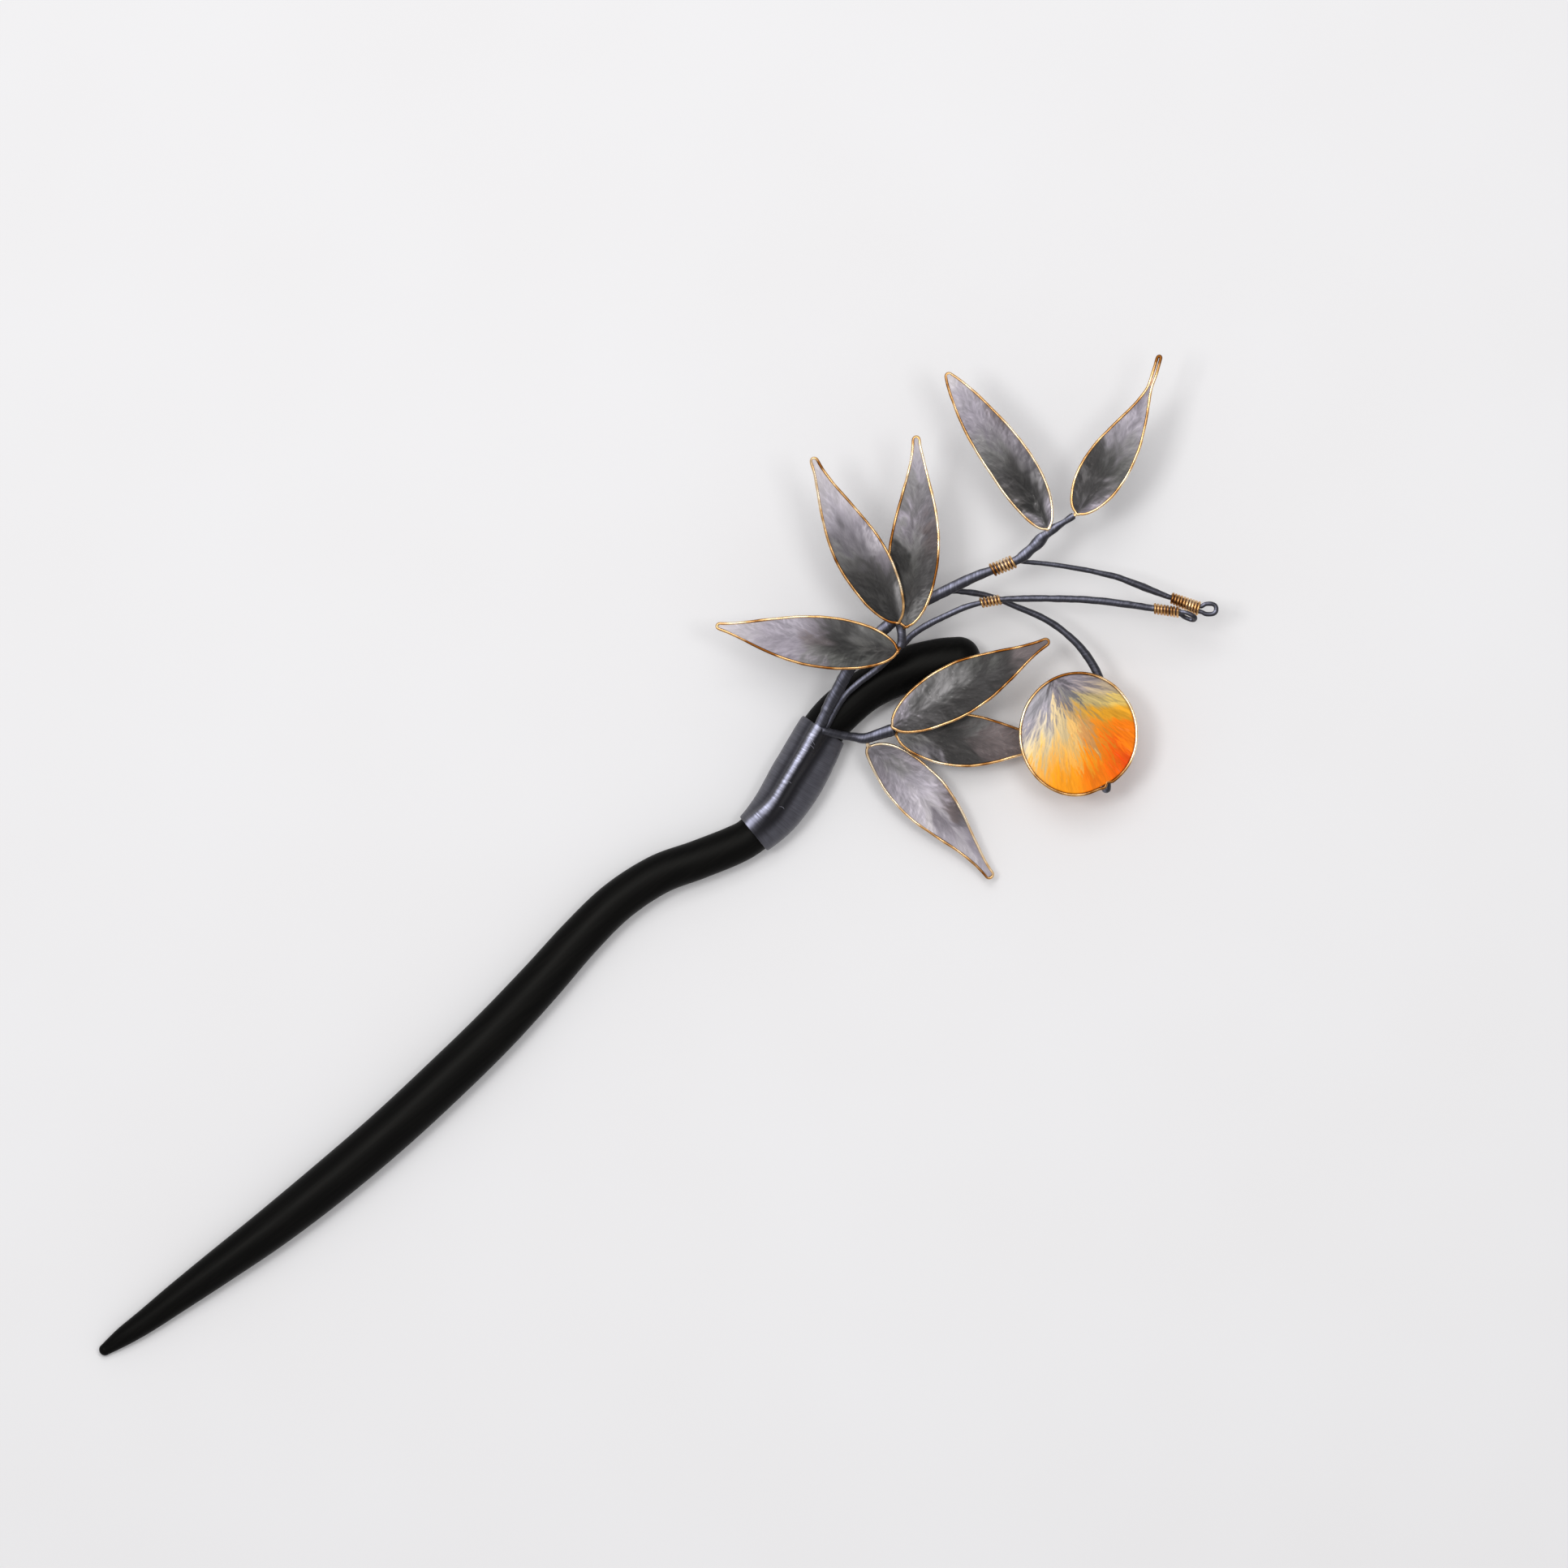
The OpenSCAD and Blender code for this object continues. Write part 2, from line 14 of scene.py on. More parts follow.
import bpy
import numpy as np
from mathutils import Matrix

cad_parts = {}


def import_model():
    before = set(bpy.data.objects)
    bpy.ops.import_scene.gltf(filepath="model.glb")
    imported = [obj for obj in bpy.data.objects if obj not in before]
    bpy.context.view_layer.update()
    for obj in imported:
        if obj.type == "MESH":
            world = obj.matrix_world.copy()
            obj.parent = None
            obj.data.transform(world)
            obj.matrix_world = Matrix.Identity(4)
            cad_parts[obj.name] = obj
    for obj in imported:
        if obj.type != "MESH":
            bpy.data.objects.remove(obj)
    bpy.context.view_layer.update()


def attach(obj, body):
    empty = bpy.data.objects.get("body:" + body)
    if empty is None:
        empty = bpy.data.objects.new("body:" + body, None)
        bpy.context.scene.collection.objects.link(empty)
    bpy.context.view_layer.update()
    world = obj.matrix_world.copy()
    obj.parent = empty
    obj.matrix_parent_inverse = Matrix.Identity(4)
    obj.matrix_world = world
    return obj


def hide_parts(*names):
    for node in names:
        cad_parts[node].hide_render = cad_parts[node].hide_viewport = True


log = logging.getLogger("hairpin")

Socket = bpy.types.NodeSocket

MM = 0.001
MIDDLE = np.array([116.12, 5.02, 0.0])
UP = np.array([0.0, 0.0, 1.0])
# Degrees from the photograph's right to the stick's own x, and that right as a direction
FACING = 38.5
RIGHT = np.array([math.cos(math.radians(FACING)), -math.sin(math.radians(FACING)), 0.0])


class Slot(Enum):
    """Material slots of the record."""

    WOOD = "wood"
    WRAP = "wrap_thread"
    STEM = "stem_thread"
    WIRE = "gilt_wire"
    LEAF = "leaf_silk"
    FRUIT = "fruit_silk"


class Ends(Enum):
    """How the first and the last ring of a skin end."""

    CAPPED = "capped"
    JOINED = "joined"


# Numbers and curves


def table(*rows: tuple[float, ...]) -> np.ndarray:
    """Makes a dataclass field that holds a table of numbers, one tuple a row."""
    return field(default_factory=lambda: np.array(rows, float))


def linear(code: str) -> np.ndarray:
    """Turns an sRGB hex colour, six digits after a #, into linear red, green and blue."""
    srgb = np.array([int(code[k : k + 2], 16) for k in (1, 3, 5)]) / 255.0
    return np.where(srgb <= 0.04045, srgb / 12.92, ((srgb + 0.055) / 1.055) ** 2.4)


def rgba(code: str) -> tuple[float, float, float, float]:
    """Turns an sRGB hex colour into the four linear values of a colour socket."""
    return (*linear(code).tolist(), 1.0)


def unit(v: np.ndarray) -> np.ndarray:
    """Scales vectors on the last axis to length one."""
    return v / np.maximum(np.linalg.norm(v, axis=-1, keepdims=True), 1e-12)


def along(rows: np.ndarray, f: np.ndarray) -> np.ndarray:
    """Reads a table at fractional row numbers, by the Catmull-Rom cubic through the two rows on either side.

    Args:
        rows: Table, one row a point.
        f: Row numbers, which may lie between rows.

    Returns:
        One row of the table's columns for each number.
    """
    f = np.clip(np.asarray(f, float), 0, len(rows) - 1)
    i = np.minimum(f.astype(int), len(rows) - 2)
    k = (f - i)[..., None]
    a, b = rows[np.maximum(i - 1, 0)], rows[i]
    c, d = rows[i + 1], rows[np.minimum(i + 2, len(rows) - 1)]
    return 0.5 * (2 * b + (c - a) * k + (2 * a - 5 * b + 4 * c - d) * k**2 + (3 * b - a - 3 * c + d) * k**3)


def run_of(points: np.ndarray) -> np.ndarray:
    """Gives the length run along a line of points up to each of them."""
    steps = np.linalg.norm(np.diff(points[:, :3], axis=0), axis=1)
    return np.concatenate([[0.0], np.cumsum(steps)])


def evenly(rows: np.ndarray, step: float, curved: bool = True) -> np.ndarray:
    """Samples a route at equal distances along itself.

    Args:
        rows: Table whose first three columns are a position.
        step: Distance between samples in millimetres.
        curved: Whether the rows lie on a Catmull-Rom curve or on straight lines.

    Returns:
        The table's columns at each sample.
    """
    fine = along(rows, np.linspace(0, len(rows) - 1, 30 * len(rows))) if curved else rows
    run = run_of(fine)
    at = np.linspace(0, run[-1], max(int(run[-1] / step), 3) + 1)
    return np.column_stack([np.interp(at, run, column) for column in fine.T])


def softened(path: np.ndarray, passes: int, closed: bool = False) -> np.ndarray:
    """Rounds the corners of a path: each point becomes a quarter of both neighbours and half of itself.

    Args:
        path: Points, one a row.
        passes: How often.
        closed: Whether the path is a loop; the ends of an open path stay.

    Returns:
        The rounded path.
    """
    for _ in range(passes):
        mean = (np.roll(path, 1, 0) + 2 * path + np.roll(path, -1, 0)) / 4
        path = mean if closed else np.concatenate([path[:1], mean[1:-1], path[-1:]])
    return path


def rounded(distance: np.ndarray, cap: float, least: float = 0.0) -> np.ndarray:
    """Gives the share of the full height near a rounded end: a quarter circle as long as the cap.

    Args:
        distance: Distances from the end.
        cap: Length over which the end is rounded.
        least: Square of the smallest share.

    Returns:
        Shares up to 1.
    """
    return np.sqrt(np.clip(1 - (1 - np.clip(distance / cap, 0, 1)) ** 2, least, 1))


def hashed(i: np.ndarray, j: np.ndarray | float, seed: float) -> np.ndarray:
    """Gives a repeatable scattered value from 0 to 1 for each pair of whole numbers."""
    wild = np.sin(i * 127.1 + j * 311.7 + seed * 74.7) * 43758.5453
    return wild - np.floor(wild)


def noise(x: np.ndarray, y: np.ndarray | float, seed: float) -> np.ndarray:
    """Smooth value noise from -1 to 1: values scattered at whole coordinates, blended by 3k^2 - 2k^3.

    Args:
        x: First coordinate, one unit a lump.
        y: Second coordinate, one unit a lump.
        seed: Picks another pattern.

    Returns:
        Noise of the broadcast shape.
    """
    x, y = np.broadcast_arrays(x, y)
    i, j = np.floor(x), np.floor(y)
    u, v = x - i, y - j
    u, v = u * u * (3 - 2 * u), v * v * (3 - 2 * v)
    low = hashed(i, j, seed) * (1 - u) + hashed(i + 1, j, seed) * u
    high = hashed(i, j + 1, seed) * (1 - u) + hashed(i + 1, j + 1, seed) * u
    return 2 * (low * (1 - v) + high * v) - 1


# Meshes


@dataclass
class Skin:
    """A closed surface through rings of points.

    Attributes:
        rings: Points, ring by point by xyz, each ring anticlockwise about the way that it goes.
        ends: Whether the first and last ring are capped or joined to each other.
        maps: UV maps by name, with one extra column, and one extra row if the ends are joined.
        dyes: Linear colours or tones by attribute name, of a shape that fits the rings.
    """

    rings: np.ndarray
    ends: Ends = Ends.CAPPED
    maps: dict[str, np.ndarray] = field(default_factory=dict)
    dyes: dict[str, np.ndarray | float] = field(default_factory=dict)

    def faces(self) -> tuple[np.ndarray, np.ndarray]:
        """Numbers the four-sided faces between rings and the triangles of the two caps.

        Returns:
            Quads and triangles as arrays of vertex numbers.
        """
        m, n = self.rings.shape[:2]
        i, j = np.meshgrid(np.arange(m if self.ends is Ends.JOINED else m - 1), np.arange(n), indexing="ij")
        i2, j2 = (i + 1) % m, (j + 1) % n
        quads = np.stack([i * n + j, i * n + j2, i2 * n + j2, i2 * n + j], -1).reshape(-1, 4)
        if self.ends is Ends.JOINED:
            return quads, np.zeros((0, 3), int)
        k = np.arange(n)
        first = np.stack([np.full(n, m * n), (k + 1) % n, k], -1)
        last = np.stack([np.full(n, m * n + 1), (m - 1) * n + k, (m - 1) * n + (k + 1) % n], -1)
        return quads, np.concatenate([first, last])

    def with_poles(self, values: np.ndarray | float) -> np.ndarray:
        """Spreads values over the rings' points and adds those of the two cap centres.

        Args:
            values: One row of three for each point, or a shape that fits.

        Returns:
            One row of three for each vertex.
        """
        values = np.broadcast_to(values, self.rings.shape)
        caps = [] if self.ends is Ends.JOINED else [values[:1].mean(axis=1), values[-1:].mean(axis=1)]
        return np.concatenate([values.reshape(-1, 3), *caps])

    def corner_map(self, uv: np.ndarray) -> np.ndarray:
        """Spreads a UV map over the corners of all faces, with a clean seam.

        Args:
            uv: Map on the rings with its extra column.

        Returns:
            One row for each face corner.
        """
        m, n = self.rings.shape[:2]
        rows = m if self.ends is Ends.JOINED else m - 1
        quads = np.stack([uv[:rows, :n], uv[:rows, 1:], uv[1 : rows + 1, 1:], uv[1 : rows + 1, :n]], 2)
        corners = [quads.reshape(-1, 2)]
        for row, flip in ((uv[0], True), (uv[-1], False)) if self.ends is Ends.CAPPED else ():
            a, b = (row[1:], row[:-1]) if flip else (row[:-1], row[1:])
            centre = np.broadcast_to(row.mean(axis=0), a.shape)
            corners.append(np.stack([centre, a, b], 1).reshape(-1, 2))
        return np.concatenate(corners)


def piece(name: str, material: bpy.types.Material, skins: list[Skin], node: str) -> None:
    """Makes one Blender object of closed skins, dresses it and lets it stand for its node.

    Args:
        name: Name of the piece.
        material: Finish.
        skins: Surfaces, all with the same maps and dyes.
        node: Node of the frame that it replaces.
    """
    points, faces, start = [], [], 0
    for skin in skins:
        quads, triangles = skin.faces()
        points.append(skin.with_poles(skin.rings))
        faces += (quads + start).tolist() + (triangles + start).tolist()
        start += len(points[-1])
    mesh = bpy.data.meshes.new(name)
    mesh.from_pydata(((np.concatenate(points) - MIDDLE) * MM).tolist(), [], faces, shade_flat=False)
    for key in skins[0].maps:
        layer = mesh.uv_layers.new(name=key)
        corners = np.concatenate([skin.corner_map(skin.maps[key]) for skin in skins])
        layer.data.foreach_set("uv", corners.astype(np.float32).ravel())
    for key in skins[0].dyes:
        layer = mesh.attributes.new(key, "FLOAT_VECTOR", "POINT")
        colours = np.concatenate([skin.with_poles(skin.dyes[key]) for skin in skins])
        layer.data.foreach_set("vector", colours.astype(np.float32).ravel())
    mesh.materials.append(material)
    made = bpy.data.objects.new(name, mesh)
    bpy.context.collection.objects.link(made)
    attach(made, "root")
    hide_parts(node)
    log.info("%s: %d faces", name, len(faces))


def round_angles(count: int) -> np.ndarray:
    """Gives equal angles round a full turn, in radians."""
    return np.arange(count) * 2 * np.pi / count


def ring(heading: np.ndarray, side: np.ndarray, sides: int) -> np.ndarray:
    """Gives the directions of a ring's points: cos w * side + sin w * (heading x side).

    Args:
        heading: Way that the ring faces, one row a ring.
        side: Direction of its first point.
        sides: Points in a ring.

    Returns:
        Directions, ring by point by xyz.
    """
    w = round_angles(sides)[None, :, None]
    return np.cos(w) * side[:, None] + np.sin(w) * np.cross(heading, side)[:, None]


def swept(
    path: np.ndarray, reach: np.ndarray | float, sides: int, over: np.ndarray = UP, closed: bool = False
) -> np.ndarray:
    """Carries a ring along a path: point = path + reach * direction, with side = over x heading.

    Args:
        path: Positions of the ring's centre.
        reach: Radius, or one at each position, or at each position and angle.
        sides: Points in a ring.
        over: Direction that stays on top.
        closed: Whether the path is a loop.

    Returns:
        Rings of points, anticlockwise about the heading.
    """
    heading = unit(np.roll(path, -1, 0) - np.roll(path, 1, 0) if closed else np.gradient(path, axis=0))
    reach = np.asarray(reach, float)
    reach = reach if reach.ndim == 2 else reach.reshape(-1, 1)
    return path[:, None] + reach[..., None] * ring(heading, unit(np.cross(over, heading)), sides)


def round_map(run: np.ndarray, girth: np.ndarray | float, sides: int) -> np.ndarray:
    """Makes a UV map in centimetres: u along the piece, v round it.

    Args:
        run: Length along the piece at each ring, in millimetres.
        girth: Radius, or one at each ring, in millimetres.
        sides: Points in a ring.

    Returns:
        The map, with one extra column that closes the seam.
    """
    v = np.linspace(0, 1, sides + 1) * 2 * np.pi * np.asarray(girth, float).reshape(-1, 1)
    return np.stack(np.broadcast_arrays(run[:, None], v), -1) / 10


def painted_shine(normals: np.ndarray, wide: float, strength: float) -> np.ndarray:
    """Paints the broad satin band of filament silk into a tone: a painted highlight on the side facing the
    window, up and to the camera's left.

    Formula: 0.6 + 0.35 c + strength exp(-(1 - c) / wide), with c the cosine between the normal and the
    window's middle.

    Args:
        normals: Outward directions.
        wide: Width of the band.
        strength: Its tone.

    Returns:
        Tone that multiplies the dye, with the three channels a little bluer in the band.
    """
    window, band_tint = unit(np.array([-0.09, 0.46, 0.88])), np.array([0.97, 1.0, 1.09])
    c = np.sum(normals * window, -1, keepdims=True)
    return 0.6 + 0.35 * np.clip(c, -0.3, 1) + strength * np.exp(-(1 - c) / wide) * band_tint


# Materials


def add(
    tree: bpy.types.NodeTree, kind: str, inputs: dict, out: int | str = 0, stops: tuple = (), **settings
) -> Socket | None:
    """Adds one shader node with its settings and links.

    Args:
        tree: Nodes of the material.
        kind: Node type after ShaderNode.
        inputs: Socket name or number to a value or to an output socket, which is linked.
        out: Output that is wanted.
        stops: Position and hex colour of the low, middle and high stop of a node that has stops.
        settings: Properties of the node.

    Returns:
        The output socket, if the node has one.
    """
    node = tree.nodes.new("ShaderNode" + kind)
    for key, value in settings.items():
        setattr(node, key, value)
    for key, value in inputs.items():
        if isinstance(value, Socket):
            tree.links.new(value, node.inputs[key])
        else:
            node.inputs[key].default_value = value
    if stops:
        marks = node.color_ramp.elements
        marks[0].position, marks[1].position = stops[0][0], stops[2][0]
        marks.new(stops[1][0])
        for mark, (_, code) in zip(marks, stops):
            mark.color = rgba(code)
    return node.outputs[out] if node.outputs else None


def blank(name: str) -> bpy.types.Material:
    """Makes a material with no nodes.

    Args:
        name: Its name.

    Returns:
        The material.
    """
    made = bpy.data.materials.new(name)
    made.use_nodes = True
    made.node_tree.nodes.clear()
    return made


@dataclass(frozen=True)
class EbonyFinish:
    """Ebony, scraped, sanded and rubbed with oil: near black with brown streaks and a soft satin gloss."""

    core: str = "#070707"
    streak: str = "#11100f"
    grain_mm: float = 0.5
    grain_length_mm: float = 14.0

    def material(self) -> bpy.types.Material:
        """Builds the material. Grain runs along x, which is nearly the shaft's own direction.

        Returns:
            The material.
        """
        made = blank("Ebony_oiled_satin")
        tree = made.node_tree
        place = add(tree, "TexCoord", {}, "Object")
        across = 1 / (MM * self.grain_mm)
        scale = (1 / (MM * self.grain_length_mm), across, across)
        fine = add(tree, "VectorMath", {0: place, 1: scale}, operation="MULTIPLY")
        grain = add(tree, "TexNoise", {"Vector": fine, "Scale": 1.0, "Detail": 4.0, "Roughness": 0.6})
        broad = add(tree, "TexNoise", {"Vector": place, "Scale": 90.0, "Detail": 2.0})
        share = add(tree, "MapRange", {"Value": grain, "From Min": 0.46, "From Max": 0.8, "To Max": 0.7})
        colours = {0: share, 6: rgba(self.core), 7: rgba(self.streak)}
        wood = {
            "Base Color": add(tree, "Mix", colours, 2, data_type="RGBA"),
            "Roughness": add(tree, "MapRange", {"Value": broad, "To Min": 0.37, "To Max": 0.49}),
            "Normal": add(tree, "Bump", {"Strength": 0.25, "Distance": 0.00004, "Height": grain}),
            "IOR": 1.5,
            "Specular IOR Level": 0.08,
            "Specular Tint": rgba("#f8f5ee"),
        }
        add(tree, "OutputMaterial", {"Surface": add(tree, "BsdfPrincipled", wood)})
        return made


@dataclass(frozen=True)
class GiltWireFinish:
    """Gold-filled brass wire, drawn and polished: its pale cream is a painted reflection on the side of the
    light, its brown partly rubbed gilt and partly painted shade.
    """

    bright: str = "#fde9c8"
    gold: str = "#dcae74"
    worn_and_shaded: str = "#84501f"
    roughness: float = 0.27
    patch_mm: float = 4.0

    def material(self) -> bpy.types.Material:
        """Builds the material on the attribute of painted sheen and rubbed gilt, which paints the pale
        reflection and the brown. Handling leaves patches of warmer, duller gold.

        Returns:
            The material.
        """
        made = blank("Gold_filled_wire_polished")
        tree = made.node_tree
        place = add(tree, "TexCoord", {}, "Object")
        marks = add(tree, "TexNoise", {"Vector": place, "Scale": 1 / (MM * self.patch_mm), "Detail": 3.0})
        patches = {"Value": marks, "From Min": 0.34, "From Max": 0.66, "To Min": -0.42, "To Max": 0.42}
        sheen_and_wear = add(tree, "Attribute", {}, "Fac", attribute_name="sheen_and_wear")
        worn_and_shaded = add(tree, "Math", {0: add(tree, "MapRange", patches), 1: sheen_and_wear}, operation="ADD")
        # The pale stop is a painted reflection; the brown stop stands for rubbed gilt and painted shade
        stops = ((0.0, self.bright), (0.45, self.gold), (0.9, self.worn_and_shaded))
        gloss = {"Value": marks, "To Min": self.roughness - 0.08, "To Max": self.roughness + 0.1}
        metal = {
            "Base Color": add(tree, "ValToRGB", {0: worn_and_shaded}, stops=stops),
            "Metallic": 1.0,
            "Roughness": add(tree, "MapRange", gloss),
        }
        add(tree, "OutputMaterial", {"Surface": add(tree, "BsdfPrincipled", metal)})
        return made


@dataclass(frozen=True)
class ThreadFinish:
    """Filament silk thread laid turn by turn: smooth fibres whose satin band across the turns is partly a
    painted highlight in the tone.

    Attributes:
        name: Name of the material.
        dark: Colour in the depth between turns.
        mid: Colour of most turns.
        pale: Colour of the odd lighter turn.
        pitch_mm: Width of one turn.
        lean: Rise of the turns for each millimetre round the piece.
        roughness: Gloss of the fibres.
    """

    name: str
    dark: str
    mid: str
    pale: str
    pitch_mm: float
    lean: float
    roughness: float

    def material(self) -> bpy.types.Material:
        """Builds the material on the map of u along and v round the piece, in centimetres, and on the tone,
        which holds painted highlight and painted shade.

        Returns:
            The material.
        """
        made = blank(self.name)
        tree = made.node_tree
        wound = add(tree, "UVMap", {}, uv_map="wound")
        u, v, _ = add(tree, "SeparateXYZ", {0: wound}).node.outputs
        tilt = add(tree, "Math", {0: v, 1: self.lean, 2: u}, operation="MULTIPLY_ADD")
        turn = add(tree, "Math", {0: tilt, 1: 10 / self.pitch_mm}, operation="MULTIPLY")
        spot = add(tree, "CombineXYZ", {0: turn, 1: add(tree, "Math", {0: v, 1: 2.2}, operation="MULTIPLY")})
        shade = add(tree, "TexNoise", {"Vector": spot, "Scale": 0.9, "Detail": 2.0, "Roughness": 0.6})
        wave = add(tree, "Math", {0: turn, 1: 0.5}, operation="PINGPONG")
        height = add(tree, "Math", {0: wave, 1: 0.55}, operation="POWER")
        stops = ((0.3, self.dark), (0.52, self.mid), (0.75, self.pale))
        colour = add(tree, "ValToRGB", {0: shade}, stops=stops)
        # The tone attribute multiplies painted highlight and painted shade into the colour
        tone = add(tree, "Attribute", {}, "Vector", attribute_name="tone")
        silk = {
            "Base Color": add(tree, "VectorMath", {0: colour, 1: tone}, operation="MULTIPLY"),
            "Roughness": self.roughness,
            "Normal": add(tree, "Bump", {"Strength": 0.15, "Distance": 0.00003, "Height": height}),
            "IOR": 1.55,
            "Specular IOR Level": 0.4,
            "Specular Tint": rgba("#e4e2f1"),
            "Sheen Weight": 0.05,
            "Sheen Roughness": 0.35,
            "Sheen Tint": rgba("#cbc9dc"),
        }
        add(tree, "OutputMaterial", {"Surface": add(tree, "BsdfPrincipled", silk)})
        return made


@dataclass(frozen=True)
class FlossFinish:
    """Silk floss brushed flat and fixed: soft streaks along the fibres, with stray filaments painted pale as
    glints.

    Single filaments are a hundredth of a millimetre, too fine to show, so strands of many stand for them.

    Attributes:
        name: Name of the material.
        strand_mm: Width of one brushed strand.
        strand_length_mm: Length of one brushed strand.
        contrast: How far a strand departs from the dye below it.
        glint: Colour of the painted glints on stray filaments.
        glint_share: How strongly the painted glints show, from 0 to 1.
        cross: How far stray filaments cross the others.
        roughness: Gloss of the fibres.
        specular: Strength of the gloss.
        sheen: Strength of the soft light at grazing angles.
    """

    name: str
    strand_mm: float = 0.24
    strand_length_mm: float = 2.4
    contrast: float = 0.16
    glint: str = "#c6c3ca"
    glint_share: float = 0.13
    cross: float = 1.0
    roughness: float = 0.6
    specular: float = 0.25
    sheen: float = 0.08

    def streaks(
        self, tree: bpy.types.NodeTree, uv: Socket, shear: float, size: float, detail: float
    ) -> Socket:
        """Gives noise drawn out along the fibres.

        Args:
            tree: Nodes of the material.
            uv: Fibre map, in centimetres across and along the fibres.
            shear: How far these fibres cross the others, as across over along.
            size: Size of these streaks as a share of a strand.
            detail: Finer octaves.

        Returns:
            Values round one half.
        """
        u, v, _ = add(tree, "SeparateXYZ", {0: uv}).node.outputs
        across = add(tree, "Math", {0: v, 1: shear, 2: u}, operation="MULTIPLY_ADD")
        fanned = add(tree, "CombineXYZ", {0: across, 1: v, 2: shear * 9})
        scale = (10 / (size * self.strand_mm), 10 / (size * self.strand_length_mm), 1.0)
        spot = add(tree, "VectorMath", {0: fanned, 1: scale}, operation="MULTIPLY")
        inputs = {"Vector": spot, "Scale": 0.8, "Detail": detail, "Roughness": 0.6, "Distortion": 0.2}
        return add(tree, "TexNoise", inputs)

    def material(self) -> bpy.types.Material:
        """Builds the material on the fibre map and the dye.

        Returns:
            The material.
        """
        made = blank(self.name)
        tree = made.node_tree
        dye = add(tree, "Attribute", {}, "Vector", attribute_name="dye")
        uv = add(tree, "UVMap", {}, uv_map="fibre")
        coarse = self.streaks(tree, uv, 0.0, 1.0, 3.0)
        left = self.streaks(tree, uv, 0.4 * self.cross, 0.6, 2.0)
        fine = self.streaks(tree, uv, -0.3 * self.cross, 0.5, 1.0)
        pair = add(tree, "Math", {0: left, 1: fine}, operation="MAXIMUM")
        both = add(tree, "Math", {0: pair, 1: 0.75, 2: coarse}, operation="MULTIPLY_ADD")
        contrast = {"To Min": 1 - self.contrast, "To Max": 1 + self.contrast}
        gain = add(tree, "MapRange", {"Value": both, "From Min": 0.66, "From Max": 1.17, **contrast})
        streaked = add(tree, "VectorMath", {0: dye, "Scale": gain}, operation="SCALE")
        # Painted glints: the finest streaks are mixed towards the pale glint colour
        glints = {"Value": fine, "From Min": 0.66, "From Max": 0.84, "To Max": self.glint_share}
        colours = {0: add(tree, "MapRange", glints), 6: streaked, 7: rgba(self.glint)}
        gloss = {"Value": fine, "To Min": self.roughness - 0.16, "To Max": self.roughness + 0.16}
        floss = {
            "Base Color": add(tree, "Mix", colours, 2, data_type="RGBA"),
            "Roughness": add(tree, "MapRange", gloss),
            "Normal": add(tree, "Bump", {"Strength": 0.35, "Distance": 0.00006, "Height": both}),
            "IOR": 1.54,
            "Specular IOR Level": self.specular,
            "Sheen Weight": self.sheen,
            "Sheen Roughness": 0.4,
            "Sheen Tint": rgba("#e8e6ee"),
        }
        add(tree, "OutputMaterial", {"Surface": add(tree, "BsdfPrincipled", floss)})
        return made


@dataclass(frozen=True)
class PaperFinish:
    """Matt white background paper: even, faintly mottled, no gloss."""

    white: str = "#f0f0f1"
    shade: str = "#edecec"

    def material(self) -> bpy.types.Material:
        """Builds the material.

        Returns:
            The material.
        """
        made = blank("Background_paper_matt")
        tree = made.node_tree
        mottle = {"Vector": add(tree, "TexCoord", {}, "Object"), "Scale": 25.0, "Detail": 2.0}
        colours = {0: add(tree, "TexNoise", mottle), 6: rgba(self.white), 7: rgba(self.shade)}
        colour = add(tree, "Mix", colours, 2, data_type="RGBA")
        paper = {"Base Color": colour, "Roughness": 0.95, "Specular IOR Level": 0.1}
        add(tree, "OutputMaterial", {"Surface": add(tree, "BsdfPrincipled", paper)})
        return made


# The stick


